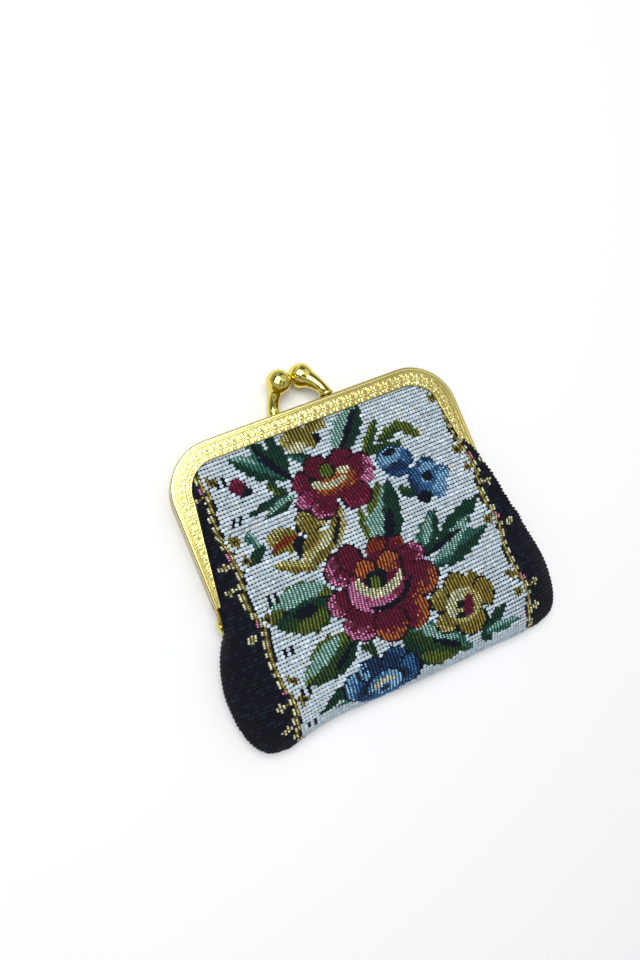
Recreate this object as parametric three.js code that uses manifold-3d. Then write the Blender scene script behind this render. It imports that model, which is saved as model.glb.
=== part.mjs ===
// Kiss lock coin purse, shut and lying on its back, the clasp towards +Y.
// X runs across the purse, Y from the bottom fold to the clasp and Z out of the front face, in millimetres.
// While the pieces are made, y = 0 is the top edge of the frame and z = 0 the surface that the purse lies on.
import * as THREE from "three";
import { mergeVertices } from "three/addons/utils/BufferGeometryUtils.js";
import Module from "manifold-3d";

const wasm = await Module();
wasm.setup();

// Frame: two halves bent from thin sheet
const frameWidth = 85;
const frameCornerRadius = 13.6;
const armLength = 41;
const halfDepth = 4.2;
const partingGap = 0.3;
const sheetThickness = 0.6;
const rimRadius = 0.55;
const bandWidth = 5.4;
const bandEndWidth = 1.4;
const taperStart = 14;
const grooveInset = 1.15;
const grooveWidth = 0.3;
const grooveDepth = 0.15;
const innerLegWidth = 4.2;
const innerLegEndWidth = 1.3;

// Hinge: an ear on each arm and a rivet through each pair
const pivotDrop = 5;
const earRoot = 1.6;
const rivetRadius = 0.9;
const rivetHeadRadius = 2.2;
const rivetHeadHeight = 0.8;
const rivetTailRadius = 1.6;
const rivetTailHeight = 0.5;

// Clasp: a ball on a leaning post for each half
const ballRadius = 3.4;
const ballRise = 8.5;
const ballHalfSpread = 3.45;
const ballCross = 0.9;
const postHalfSpread = 7.4;
const postFootRadius = 2.05;
const postNeckRadius = 1.7;
const postHeadRadius = 2.4;
const postShankRadius = 0.7;
const postTailRadius = 1.2;
const postTailHeight = 0.5;
const postJoin = 0.3;

// Pouch: one tapestry cloth, folded at the bottom and seamed at the sides
const clothWall = 1.3;
const pouchDrop = 83.5;
const bellyHalfWidth = 49.5;
const bellyRise = 5.2;
const seamLine = 0.42;
const mouthEdgeDrop = 1.8;
const hingeFlare = 0.6;
const frontRoll = 9;
const backRoll = 3;
const roomLeast = 0.05;

// Clearances between the pieces
const clearance = 0.3;

const claspGold = { color: 0xd9b23f, roughness: 0.22, metalness: 1 };
const clothNavy = { color: 0x8f9aa6, roughness: 0.9, metalness: 0 };

const halfWidth = frameWidth / 2;
const frameDepth = 2 * halfDepth + partingGap;
const midHeight = frameDepth / 2;
const webInnerHalf = halfWidth - sheetThickness;
const pivotY = -(armLength + pivotDrop);
const clothSeat = sheetThickness + clearance;
const earRadius = midHeight - clothSeat - clothWall - clearance;

// Solids and booleans

/** Returns a mesh's geometry with shared vertices, holding positions alone. */
function welded(geometry) {
  const bare = geometry.index ? geometry : geometry.clone();
  bare.deleteAttribute("normal");
  bare.deleteAttribute("uv");
  return mergeVertices(bare, 1e-4);
}

/** Turns a closed geometry into a manifold solid. */
function solid(geometry) {
  const bare = welded(geometry);
  return new wasm.Manifold(
    new wasm.Mesh({
      numProp: 3,
      vertProperties: new Float32Array(bare.attributes.position.array),
      triVerts: new Uint32Array(bare.index.array),
    }),
  );
}

/** Builds a geometry from a list of points and a list of triangles. */
function geometryOf(points, triangles) {
  const geometry = new THREE.BufferGeometry();
  geometry.setAttribute("position", new THREE.Float32BufferAttribute(points.flat(), 3));
  geometry.setIndex(triangles.flat());
  return geometry;
}

/** Triangles that fill a flat outline, each turning the same way as the outline does. */
function capTriangles(outline) {
  const turns = Math.sign(THREE.ShapeUtils.area(outline));
  return THREE.ShapeUtils.triangulateShape(outline.slice(), []).map(([a, b, c]) => {
    const area = THREE.ShapeUtils.area([outline[a], outline[b], outline[c]]);
    return area * turns < 0 ? [a, c, b] : [a, b, c];
  });
}

/** Triangles that fill a ring whose second half runs back under its first half. */
function lacedTriangles(count) {
  const triangles = [[0, 1, count - 1]];
  for (let step = 1; step < count / 2 - 1; step += 1) {
    triangles.push([step, step + 1, count - step - 1], [step, count - step - 1, count - step]);
  }
  triangles.push([count / 2 - 1, count / 2, count / 2 + 1]);
  return triangles;
}

/** Lofts a closed solid through rings of equal count, with the same cap at both ends. */
function loft(rings, cap) {
  const count = rings[0].length;
  const points = rings.flat();
  const triangles = cap.map(([a, b, c]) => [a, c, b]);
  for (let row = 0; row + 1 < rings.length; row += 1) {
    for (let step = 0; step < count; step += 1) {
      const a = row * count + step;
      const b = row * count + ((step + 1) % count);
      triangles.push([a, b, b + count], [a, b + count, a + count]);
    }
  }
  const last = points.length - count;
  for (const [a, b, c] of cap) triangles.push([last + a, last + b, last + c]);
  const inward = signedVolume(points, triangles) < 0;
  return geometryOf(points, inward ? triangles.map(([a, b, c]) => [a, c, b]) : triangles);
}

/** Gives six times the volume that a triangle list encloses, negative where it is inside out. */
function signedVolume(points, triangles) {
  let sum = 0;
  for (const [a, b, c] of triangles) {
    const [p, q, r] = [points[a], points[b], points[c]];
    sum += p[0] * (q[1] * r[2] - q[2] * r[1]);
    sum += p[1] * (q[2] * r[0] - q[0] * r[2]);
    sum += p[2] * (q[0] * r[1] - q[1] * r[0]);
  }
  return sum;
}

/** Turns a manifold solid back into a named mesh with its own material. */
function meshOf(name, made, finish) {
  const data = made.getMesh();
  const geometry = new THREE.BufferGeometry();
  geometry.setAttribute("position", new THREE.Float32BufferAttribute(data.vertProperties, 3));
  geometry.setIndex(Array.from(data.triVerts));
  geometry.computeVertexNormals();
  const mesh = new THREE.Mesh(geometry, new THREE.MeshStandardMaterial(finish));
  mesh.name = name;
  return mesh;
}

/** A cylinder along X from one x to another, about the given y and z. */
function cylinderAlongX(radius, from, to, y, z, sides) {
  const geometry = new THREE.CylinderGeometry(radius, radius, Math.abs(to - from), sides);
  geometry.rotateZ(Math.PI / 2);
  geometry.translate((from + to) / 2, y, z);
  return solid(geometry);
}

/** A cylinder along Y from one y to another, about the given x and z. */
function cylinderAlongY(radius, from, to, x, z, sides) {
  const geometry = new THREE.CylinderGeometry(radius, radius, Math.abs(to - from), sides);
  geometry.translate(x, (from + to) / 2, z);
  return solid(geometry);
}

/** Blends smoothly from 0 to 1 as t goes from 0 to 1. */
function ease(t) {
  const s = Math.min(Math.max(t, 0), 1);
  return s * s * (3 - 2 * s);
}

/** Rises steeply from 0 and levels out at 1, as cloth does beside a stiff edge. */
function swell(t) {
  const s = Math.min(Math.max(t, 0), 1);
  return 1 - (1 - s) * (1 - s);
}

// Frame halves

/** Stations along the frame's outer edge, from the left arm end over the top to the right arm end. */
function frameStations() {
  const stations = [];
  const armSteps = 5;
  const cornerSteps = 8;
  for (let step = 0; step < armSteps; step += 1) {
    const y = THREE.MathUtils.lerp(-armLength, -frameCornerRadius, step / armSteps);
    stations.push({ x: -halfWidth, y, outX: -1, outY: 0 });
  }
  for (let step = 0; step <= cornerSteps; step += 1) {
    const angle = Math.PI - (step / cornerSteps) * (Math.PI / 2);
    stations.push({
      x: -halfWidth + frameCornerRadius * (1 + Math.cos(angle)),
      y: frameCornerRadius * (Math.sin(angle) - 1),
      outX: Math.cos(angle),
      outY: Math.sin(angle),
    });
  }
  const mirrored = stations.map(({ x, y, outX, outY }) => ({ x: -x, y, outX: -outX, outY }));
  return [...stations, ...mirrored.reverse()];
}

/** Width of a leg at a depth below the top edge: full over the top, then tapering along the arm. */
function legWidthAt(y, full, end) {
  const along = (-y - taperStart) / (armLength - taperStart);
  return THREE.MathUtils.lerp(full, end, Math.min(Math.max(along, 0), 1));
}

/** The channel's section at one station, as [inset from the edge, height above the parting plane]. */
function channelSection(y) {
  const front = legWidthAt(y, bandWidth, bandEndWidth);
  const inner = legWidthAt(y, innerLegWidth, innerLegEndWidth);
  const groove = Math.min(grooveInset, front - 2 * grooveWidth);
  const rim = [0, 1, 2, 3].map((step) => {
    const angle = (step / 3) * (Math.PI / 2);
    return [rimRadius * (1 - Math.cos(angle)), halfDepth - rimRadius * (1 - Math.sin(angle))];
  });
  return [
    [0, 0],
    ...rim,
    [groove - grooveWidth / 2, halfDepth],
    [groove, halfDepth - grooveDepth],
    [groove + grooveWidth / 2, halfDepth],
    [front, halfDepth],
    [front, halfDepth - sheetThickness],
    [sheetThickness, halfDepth - sheetThickness],
    [sheetThickness, sheetThickness],
    [inner, sheetThickness],
    [inner, 0],
  ];
}

/** The flat ear on an arm end, as a plate between two x values, centred on the hinge's axis. */
function hingeEar(side, inner, outer) {
  const shape = new THREE.Shape();
  shape.moveTo(-earRoot, clearance);
  shape.lineTo(-earRoot, earRadius);
  shape.lineTo(pivotDrop, earRadius);
  shape.absarc(pivotDrop, 0, earRadius, Math.PI / 2, -Math.PI / 2, true);
  shape.quadraticCurveTo(pivotDrop / 2, -earRadius, 2 * clearance, clearance);
  const plate = new THREE.ExtrudeGeometry(shape, {
    depth: outer - inner,
    bevelEnabled: false,
    curveSegments: 10,
  });
  const place = new THREE.Matrix4().makeBasis(
    new THREE.Vector3(0, -1, 0),
    new THREE.Vector3(0, 0, side),
    new THREE.Vector3(-side, 0, 0),
  );
  plate.applyMatrix4(place);
  plate.computeBoundingBox();
  plate.translate(inner - plate.boundingBox.min.x, -armLength, midHeight);
  return solid(plate);
}

/** The step inside the back half's channel that carries its ear, inward of the front half's ear. */
function hingeStep(inner) {
  const outer = webInnerHalf + sheetThickness / 2;
  const box = new THREE.BoxGeometry(outer - inner, earRoot, earRadius - clearance);
  box.translate(
    (inner + outer) / 2,
    -armLength + earRoot / 2,
    midHeight - (earRadius + clearance) / 2,
  );
  return solid(box);
}

/** One half of the frame: side is 1 for the front half and -1 for the back half. */
function frameHalf(side) {
  const parting = midHeight + (side * partingGap) / 2;
  const rings = frameStations().map(({ x, y, outX, outY }) =>
    channelSection(y).map(([inset, height]) => [
      x - outX * inset,
      y - outY * inset,
      parting + side * height,
    ]),
  );
  const outline = channelSection(-armLength).map(([inset, height]) => new THREE.Vector2(inset, height));
  let made = solid(loft(rings, capTriangles(outline)));
  const outer = side > 0 ? halfWidth : webInnerHalf - clearance;
  const inner = outer - sheetThickness;
  const ear = side > 0 ? hingeEar(side, inner, outer) : hingeEar(side, inner, outer).add(hingeStep(inner));
  for (const hand of [-1, 1]) {
    made = made.add(hand > 0 ? ear : ear.mirror([1, 0, 0]));
    const hole = cylinderAlongX(
      rivetRadius + clearance,
      hand * (inner - clearance),
      hand * (outer + clearance),
      pivotY,
      midHeight,
      16,
    );
    made = made.subtract(hole);
  }
  const knobX = side * postHalfSpread;
  const webMiddle = parting + (side * halfDepth) / 2;
  const shankHole = cylinderAlongY(
    postShankRadius + clearance,
    -sheetThickness - clearance,
    clearance,
    knobX,
    webMiddle,
    16,
  );
  return made.subtract(shankHole);
}

// Hinge rivets

/** A rivet along X through one pair of ears: hand is -1 for the left and 1 for the right. */
function hingeRivet(hand) {
  const tailOuter = webInnerHalf - 2 * clearance - sheetThickness;
  const headInner = halfWidth + clearance;
  const profile = [
    [0, tailOuter - rivetTailHeight],
    [rivetTailRadius * 0.8, tailOuter - rivetTailHeight],
    [rivetTailRadius, tailOuter - rivetTailHeight / 2],
    [rivetTailRadius, tailOuter],
    [rivetRadius, tailOuter],
    [rivetRadius, headInner],
    [rivetHeadRadius, headInner],
    [rivetHeadRadius * 0.9, headInner + rivetHeadHeight * 0.45],
    [rivetHeadRadius * 0.6, headInner + rivetHeadHeight * 0.82],
    [0, headInner + rivetHeadHeight],
  ];
  const geometry = new THREE.LatheGeometry(
    profile.map(([radius, along]) => new THREE.Vector2(radius, along)),
    20,
  );
  geometry.rotateZ(-Math.PI / 2);
  geometry.translate(0, pivotY, midHeight);
  const made = solid(geometry);
  return hand > 0 ? made : made.mirror([1, 0, 0]);
}

// Clasp knobs

/** A ball on a post that bends from its half of the frame past the other half's ball. */
function claspKnob(side) {
  const webMiddle = midHeight + side * (partingGap / 2 + halfDepth / 2);
  const foot = new THREE.Vector3(side * postHalfSpread, clearance, webMiddle);
  const ball = new THREE.Vector3(side * ballHalfSpread, ballRise, midHeight - side * ballCross);
  const knee = new THREE.Vector3(foot.x, ballRise * 0.45, foot.z);
  const route = new THREE.QuadraticBezierCurve3(foot, knee, ball);
  const sides = 16;
  const steps = 7;
  const rings = [];
  for (let step = 0; step <= steps; step += 1) {
    const along = step / steps;
    const centre = route.getPoint(along);
    const tangent = step === 0 ? new THREE.Vector3(0, 1, 0) : route.getTangent(along);
    const across = new THREE.Vector3(0, 0, 1).cross(tangent).normalize();
    const up = tangent.clone().cross(across).normalize();
    const radius =
      along < 0.45
        ? THREE.MathUtils.lerp(postFootRadius, postNeckRadius, ease(along / 0.45))
        : THREE.MathUtils.lerp(postNeckRadius, postHeadRadius, ease((along - 0.45) / 0.55));
    const ring = [];
    for (let turn = 0; turn < sides; turn += 1) {
      const angle = (turn / sides) * 2 * Math.PI;
      const point = centre
        .clone()
        .addScaledVector(across, radius * Math.cos(angle))
        .addScaledVector(up, radius * Math.sin(angle));
      ring.push(point.toArray());
    }
    rings.push(ring);
  }
  const head = new THREE.SphereGeometry(ballRadius, 24, 16);
  head.translate(ball.x, ball.y, ball.z);
  const tailTop = -(sheetThickness + clearance);
  const shank = cylinderAlongY(postShankRadius, tailTop - postJoin, foot.y + postJoin, foot.x, foot.z, 12);
  const tail = cylinderAlongY(postTailRadius, tailTop - postTailHeight, tailTop, foot.x, foot.z, 16);
  return solid(loft(rings, lacedTriangles(sides))).add(solid(head)).add(shank).add(tail);
}

// Pouch

// One row for each section below the hinge. down is the share of the way from the hinge to the bottom fold,
// spread the share of the way from the half width at the hinge to the belly's, rise the share of the belly's
// rise over the frame, depth the share of the side height that is left before the fold closes, and square
// how boxy the side edge is.
const bellySections = [
  { down: 0.055, spread: 0.003, rise: 0.857, depth: 1, square: 9 },
  { down: 0.09, spread: 0.159, rise: 0.873, depth: 1, square: 7 },
  { down: 0.15, spread: 0.356, rise: 0.9, depth: 1, square: 5 },
  { down: 0.23, spread: 0.573, rise: 0.93, depth: 1, square: 3.9 },
  { down: 0.33, spread: 0.783, rise: 0.965, depth: 1, square: 3.3 },
  { down: 0.45, spread: 0.953, rise: 0.993, depth: 1, square: 2.9 },
  { down: 0.57, spread: 1, rise: 1, depth: 0.99, square: 2.7 },
  { down: 0.68, spread: 0.959, rise: 0.94, depth: 0.97, square: 2.7 },
  { down: 0.78, spread: 0.864, rise: 0.81, depth: 0.93, square: 2.8 },
  { down: 0.86, spread: 0.715, rise: 0.62, depth: 0.86, square: 3 },
  { down: 0.92, spread: 0.512, rise: 0.41, depth: 0.75, square: 3.2 },
  { down: 0.965, spread: 0.22, rise: 0.19, depth: 0.6, square: 3.4 },
  { down: 1, spread: -0.356, rise: 0, depth: 0.36, square: 3.6 },
];

// One row for each section between the top band and the hinge. down is the share of the way from one to the
// other, and rise the share of the belly's rise over the frame.
const mouthSections = [
  { down: 0, rise: 0.1 },
  { down: 0.04, rise: 0.2 },
  { down: 0.09, rise: 0.27 },
  { down: 0.15, rise: 0.33 },
  { down: 0.21, rise: 0.38 },
  { down: 0.35, rise: 0.47 },
  { down: 0.5, rise: 0.56 },
  { down: 0.65, rise: 0.645 },
  { down: 0.77, rise: 0.71 },
  { down: 0.875, rise: 0.77 },
  { down: 1, rise: 0.83 },
];

// Sections inside the top of the channels, as shares of the way from the cloth's edge to the leg's edge
const channelShares = [0, 0.15, 0.4, 0.7];

// Places across a section: shares of the way from the middle to the bend, then from the bend to the side
const innerShares = [0, 0.22, 0.43, 0.62, 0.79, 0.92, 1];
const outerShares = [0.35, 0.65, 0.87, 0.98];
const bellyBend = 0.86;

/** Half width of the cloth at a depth inside the frame, where it follows the web's inner face. */
function mouthHalfWidth(y) {
  const reach = webInnerHalf - clearance;
  const arc = frameCornerRadius - sheetThickness - clearance;
  const rise = Math.max(y + frameCornerRadius, 0);
  const corner = arc - Math.sqrt(Math.max(arc * arc - rise * rise, 0));
  return reach - corner + hingeFlare * ease((-y - armLength) / pivotDrop);
}

/** How far a place lies inside the cleared edge of the front or back leg, negative under the leg. */
function insideLegs(x, y) {
  const leg = legWidthAt(y, bandWidth, bandEndWidth) + clearance;
  const right = Math.abs(x) - (halfWidth - frameCornerRadius);
  const up = y + frameCornerRadius;
  if (right > 0 && up > 0) return frameCornerRadius - leg - Math.hypot(right, up);
  return Math.min(halfWidth - leg - Math.abs(x), -bandWidth - clearance - y);
}

/** Half width of the cleared window between the legs at a depth below the top band. */
function windowHalfWidth(y) {
  const leg = legWidthAt(y, bandWidth, bandEndWidth) + clearance;
  const arc = frameCornerRadius - leg;
  const rise = Math.max(y + frameCornerRadius, 0);
  return halfWidth - leg - arc + Math.sqrt(Math.max(arc * arc - rise * rise, 0));
}

/** Everything that shapes the pouch at each of its sections, from the bottom fold up to the mouth. */
function pouchSections() {
  const legEdge = -(bandWidth + clearance);
  const framed = { depth: 1, square: 16, seam: midHeight, inFrame: true };
  const inChannel = channelShares.map((share) => {
    const y = THREE.MathUtils.lerp(-mouthEdgeDrop, legEdge, share);
    const half = mouthHalfWidth(y);
    return { ...framed, y, half, bend: bellyBend * half, rise: 0 };
  });
  const inWindow = mouthSections.map(({ down, rise }) => {
    const y = THREE.MathUtils.lerp(legEdge, pivotY, down);
    const half = mouthHalfWidth(y);
    return { ...framed, y, half, bend: Math.min(windowHalfWidth(y), bellyBend * half), rise };
  });
  const below = bellySections.map(({ down, spread, rise, depth, square }) => {
    const y = THREE.MathUtils.lerp(pivotY, -pouchDrop, down);
    const half = THREE.MathUtils.lerp(mouthHalfWidth(pivotY), bellyHalfWidth, spread);
    const seam = THREE.MathUtils.lerp(midHeight, seamLine * frameDepth, down);
    return { y, half, bend: bellyBend * half, rise, depth, square, seam, inFrame: false };
  });
  return [...inChannel, ...inWindow, ...below].reverse();
}

/** Height of the front and back surfaces at one x of a section, with the sides closed or running on. */
function clothHeights(section, x, closed) {
  const { y, half, rise, depth, square, seam, inFrame } = section;
  const share = Math.min(Math.abs(x) / half, 1);
  const round = closed ? (1 - share ** square) ** (1 / square) : 1;
  const inside = inFrame ? insideLegs(x, y) : half - Math.abs(x);
  const crown = 0.55 * swell(inside / frontRoll) + 0.45 * swell(inside / (4 * frontRoll));
  const frontSeat = frameDepth - clothSeat;
  const backSeat = clothSeat * (1 - swell(inside / backRoll));
  const top = seam + (frontSeat - seam) * round * depth + bellyRise * rise * crown;
  const bottom = seam - (seam - backSeat) * round * (1 - (1 - depth) ** 2);
  return { top, bottom };
}

/** The closed ring of one section: over the front from left to right, then back under it. */
function sectionRing(section, half, wall, closed) {
  const { y, seam, bend } = section;
  const reach = (share) => bend + (half - bend) * share;
  const rightward = [...innerShares.map((share) => bend * share), ...outerShares.map(reach)];
  const leftward = rightward.slice(1).reverse();
  const places = [...leftward.map((x) => -x), ...rightward];
  const heights = places.map((x) => clothHeights(section, closed ? (x * section.half) / half : x, closed));
  const least = wall > 0 ? roomLeast : 0;
  const over = places.map((x, step) => [x, y, Math.max(heights[step].top - wall, seam + least)]);
  const under = places.map((x, step) => [x, y, Math.min(heights[step].bottom + wall, seam - least)]);
  return [[-half, y, seam], ...over, [half, y, seam], ...under.reverse()];
}

/** The hollow bag: the puffed outer form less the room inside it, open at the mouth and beside the hinges. */
function pouchSolid() {
  const sections = pouchSections();
  const rings = sections.map((section) => sectionRing(section, section.half, 0, true));
  const cap = lacedTriangles(rings[0].length);
  const outer = solid(loft(rings, cap));
  const slitEnd = pivotY - rivetHeadRadius - clearance;
  const room = sections
    .filter((section) => section.depth > 0.7)
    .map((section) => {
      const closed = section.y < slitEnd;
      const half = closed ? section.half - clothWall : halfWidth + clearance;
      return sectionRing(section, half, clothWall, closed);
    });
  const mouth = room[room.length - 1].map(([x, , z]) => [x, 0, z]);
  return outer.subtract(solid(loft([...room, mouth], cap)));
}

// Assembly

const purse = new THREE.Group();
purse.add(meshOf("front_frame", frameHalf(1), claspGold));
purse.add(meshOf("back_frame", frameHalf(-1), claspGold));
purse.add(meshOf("front_clasp_knob", claspKnob(1), claspGold));
purse.add(meshOf("back_clasp_knob", claspKnob(-1), claspGold));
purse.add(meshOf("left_hinge_rivet", hingeRivet(-1), claspGold));
purse.add(meshOf("right_hinge_rivet", hingeRivet(1), claspGold));
purse.add(meshOf("pouch", pouchSolid(), clothNavy));

// The origin is the middle of the bottom of the whole purse's box
const box = new THREE.Box3().setFromObject(purse);
const middle = box.getCenter(new THREE.Vector3());
purse.position.set(-middle.x, -middle.y, -box.min.z);

const group = new THREE.Group();
group.add(purse);
export default group;
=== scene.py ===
"""Looks of a kiss lock coin purse that lies shut on its back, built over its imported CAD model.

Sizes are in millimetres and turned into metres only where a mesh is made. They are measured as in the
part's source: x across the purse, y up from the frame's top edge, z up from the surface that it lies on.
"""

import logging
import math
from dataclasses import astuple, dataclass, field
from enum import Enum
from functools import cache

import bmesh
import bpy
import numpy as np
from mathutils import Matrix, Vector


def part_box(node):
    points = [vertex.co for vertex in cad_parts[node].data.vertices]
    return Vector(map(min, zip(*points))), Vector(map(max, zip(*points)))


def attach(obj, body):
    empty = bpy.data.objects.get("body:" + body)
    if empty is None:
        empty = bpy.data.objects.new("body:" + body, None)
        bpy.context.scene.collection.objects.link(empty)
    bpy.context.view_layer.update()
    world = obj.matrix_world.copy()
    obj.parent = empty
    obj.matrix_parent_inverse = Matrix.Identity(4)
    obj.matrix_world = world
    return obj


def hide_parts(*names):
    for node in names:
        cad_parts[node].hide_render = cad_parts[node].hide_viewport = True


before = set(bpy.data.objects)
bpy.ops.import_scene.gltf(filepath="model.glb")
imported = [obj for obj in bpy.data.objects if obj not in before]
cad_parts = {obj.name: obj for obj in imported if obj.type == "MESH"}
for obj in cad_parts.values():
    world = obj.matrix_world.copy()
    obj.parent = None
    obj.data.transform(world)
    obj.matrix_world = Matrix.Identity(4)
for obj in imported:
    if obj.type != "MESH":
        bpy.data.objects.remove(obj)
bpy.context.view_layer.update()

log = logging.getLogger("purse")

METRES = 0.001
MERGE = 0.01 * METRES
TOP_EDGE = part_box("front_frame")[1].y / METRES


class Half(Enum):
    """The two halves of the purse, with the way that each one faces along z."""

    FRONT = 1
    BACK = -1


class Flank(Enum):
    """The two sides of the purse, with the sign of their x."""

    LEFT = -1
    RIGHT = 1


class Yarn(Enum):
    """Yarns of the tapestry, each with its dyed colour as sRGB from 0 to 255."""

    PALE = (197, 212, 222)
    CREAM = (226, 224, 184)
    NAVY = (11, 15, 25)
    CORE = (13, 20, 34)
    DEEP = (44, 12, 26)
    WINE = (112, 20, 48)
    ROSE = (152, 40, 84)
    PINK = (222, 132, 178)
    RUST = (148, 58, 30)
    AMBER = (190, 104, 52)
    OCHRE = (150, 134, 52)
    STRAW = (206, 196, 120)
    OLIVE = (104, 122, 40)
    MOSS = (52, 84, 34)
    FOREST = (20, 66, 44)
    SEA = (56, 116, 102)
    MINT = (148, 196, 184)
    SKY = (136, 190, 230)
    BLUE = (58, 108, 162)
    DUSK = (30, 60, 102)
    GILT = (150, 124, 40)

    @property
    def mark(self) -> int:
        """The yarn's place among all yarns, by which the chart and the stitches hold it."""
        return list(Yarn).index(self)


def marks(names: str) -> tuple[int, ...]:
    """Marks of the yarns in a line of names."""
    return tuple(Yarn[name].mark for name in names.split())


GROUND = marks("PALE NAVY")
DOTTED = marks("SEA MINT SKY BLUE PINK ROSE WINE FOREST STRAW")
LONG_STITCH = marks("OCHRE OLIVE AMBER DUSK MOSS")


def linear(colour: tuple[int, int, int]) -> np.ndarray:
    """Turn an sRGB colour from 0 to 255 into the linear values that Blender works in."""
    c = np.asarray(colour, float) / 255
    return np.where(c <= 0.04045, c / 12.92, ((c + 0.055) / 1.055) ** 2.4)


DYES = np.array([linear(yarn.value) for yarn in Yarn])


def swell(t: np.ndarray) -> np.ndarray:
    """Rise steeply from 0 and level out at 1, as cloth does beside a stiff edge."""
    return 1 - (1 - np.clip(t, 0, 1)) ** 2


def ease(t: np.ndarray) -> np.ndarray:
    """Blend smoothly from 0 to 1 as t goes from 0 to 1."""
    s = np.clip(t, 0, 1)
    return s * s * (3 - 2 * s)


def smooth_table(rows: tuple, at: np.ndarray) -> np.ndarray:
    """Read a table of sizes with a smooth curve through its rows.

    Args:
        rows: Rising places, each with its value.
        at: Where the table is read.

    Returns:
        The value at each place, held level outside the table.
    """
    p, v = np.array(rows, float).T
    slope = np.gradient(v, p)
    x = np.clip(at, p[0], p[-1])
    i = np.clip(np.searchsorted(p, x) - 1, 0, len(p) - 2)
    span = p[i + 1] - p[i]
    s = (x - p[i]) / span
    a = (1 + 2 * s) * (1 - s) ** 2 * v[i] + s * (1 - s) ** 2 * span * slope[i]
    return a + s * s * (3 - 2 * s) * v[i + 1] + s * s * (s - 1) * span * slope[i + 1]


def lengths_along(line: np.ndarray) -> np.ndarray:
    """Length from a line's first point to each of its points."""
    return np.concatenate([[0], np.cumsum(np.linalg.norm(np.diff(line, axis=0), axis=1))])


def points_along(line: np.ndarray, run: np.ndarray, at: np.ndarray) -> np.ndarray:
    """Points of a line at lengths along it, where run is what lengths_along gives."""
    return np.stack([np.interp(at, run, line[:, i]) for i in range(3)], -1)


def in_metres(points: np.ndarray) -> np.ndarray:
    """Move points from the purse's own millimetres into the CAD model's frame, in metres."""
    return (np.asarray(points, float) + (0, TOP_EDGE, 0)) * METRES


def put(name: str, data: object) -> bpy.types.Object:
    """Make an object of a mesh, lamp or camera and link it to the scene.

    Args:
        name: Name of the object.
        data: The mesh, lamp or camera.

    Returns:
        The new object.
    """
    made = bpy.data.objects.new(name, data)
    bpy.context.scene.collection.objects.link(made)
    return made


def primitive(operator: object, **settings: object) -> bpy.types.Object:
    """Add a primitive of bpy.ops.mesh with nothing else selected, and return it.

    Args:
        operator: The primitive's operator.
        **settings: The operator's own settings.

    Returns:
        The new object.
    """
    bpy.ops.object.select_all(action="DESELECT")
    operator(**settings)
    return bpy.context.object


def piece_from(name: str, points: np.ndarray, faces: list) -> bpy.types.Object:
    """Make a piece from points in millimetres and lists of corners.

    Args:
        name: Plain name of the piece.
        points: Points as rows of x, y and z.
        faces: Corners of each face, turning anticlockwise seen from outside.

    Returns:
        The new object, shaded smooth.
    """
    mesh = bpy.data.meshes.new(name)
    mesh.from_pydata(in_metres(points).tolist(), [], faces)
    mesh.polygons.foreach_set("use_smooth", np.ones(len(mesh.polygons), bool))
    mesh.update()
    return put(name, mesh)


def pick(made: bpy.types.Object) -> None:
    """Select one object alone and make it active.

    Args:
        made: The object.
    """
    if bpy.context.mode != "OBJECT":
        bpy.ops.object.mode_set(mode="OBJECT")
    bpy.ops.object.select_all(action="DESELECT")
    made.select_set(True)
    bpy.context.view_layer.objects.active = made


def edit(made: bpy.types.Object, operator: object, **settings: object) -> None:
    """Run one edit-mode operator on the whole mesh of a piece.

    Args:
        made: The piece.
        operator: An operator of bpy.ops.mesh.
        **settings: The operator's own settings.
    """
    pick(made)
    bpy.ops.object.mode_set(mode="EDIT")
    bpy.ops.mesh.select_all(action="SELECT")
    operator(**settings)
    bpy.ops.object.mode_set(mode="OBJECT")


def face_outwards(made: bpy.types.Object, sharp_deg: float) -> bpy.types.Object:
    """Turn a piece's faces outwards, shade it smooth below an angle and return it.

    Args:
        made: The piece.
        sharp_deg: Angle between two faces from which the edge stays sharp.

    Returns:
        The same piece.
    """
    edit(made, bpy.ops.mesh.normals_make_consistent, inside=False)
    bpy.ops.object.shade_smooth_by_angle(angle=math.radians(sharp_deg))
    return made


def join(pieces: list, name: str) -> bpy.types.Object:
    """Join pieces into the first of them and give it a name.

    Args:
        pieces: The pieces, the one that is kept first.
        name: Name of the joined piece.

    Returns:
        The joined piece.
    """
    pick(pieces[0])
    for other in pieces[1:]:
        other.select_set(True)
    bpy.ops.object.join()
    pieces[0].name = name
    pieces[0].data.name = name
    return pieces[0]


def extruded(name: str, rings: list, sharp_deg: float) -> bpy.types.Object:
    """Model a closed bar from a disc, whose end face is extruded from section to section.

    Args:
        name: Name of the new object.
        rings: Each section's points in millimetres, in order round it.
        sharp_deg: Angle between two faces from which the edge stays sharp.

    Returns:
        The bar, with its faces outwards.
    """
    ring, *goals = [in_metres(points) for points in rings]
    made = primitive(bpy.ops.mesh.primitive_circle_add, vertices=len(ring), radius=METRES, fill_type="NGON")
    made.name = name
    made.data.vertices.foreach_set("co", ring.ravel())
    bpy.ops.object.mode_set(mode="EDIT")
    bpy.ops.mesh.select_all(action="SELECT")
    for goal in goals:
        bpy.ops.mesh.extrude_region_move()
        work = bmesh.from_edit_mesh(made.data)
        corners = [v for v in work.verts if v.select]
        gaps = np.linalg.norm(np.array([v.co for v in corners])[:, None] - ring[None], axis=2)
        for corner, index in zip(corners, gaps.argmin(1)):
            corner.co = goal[index]
        bmesh.update_edit_mesh(made.data)
        ring = goal
    return face_outwards(made, sharp_deg)


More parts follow.
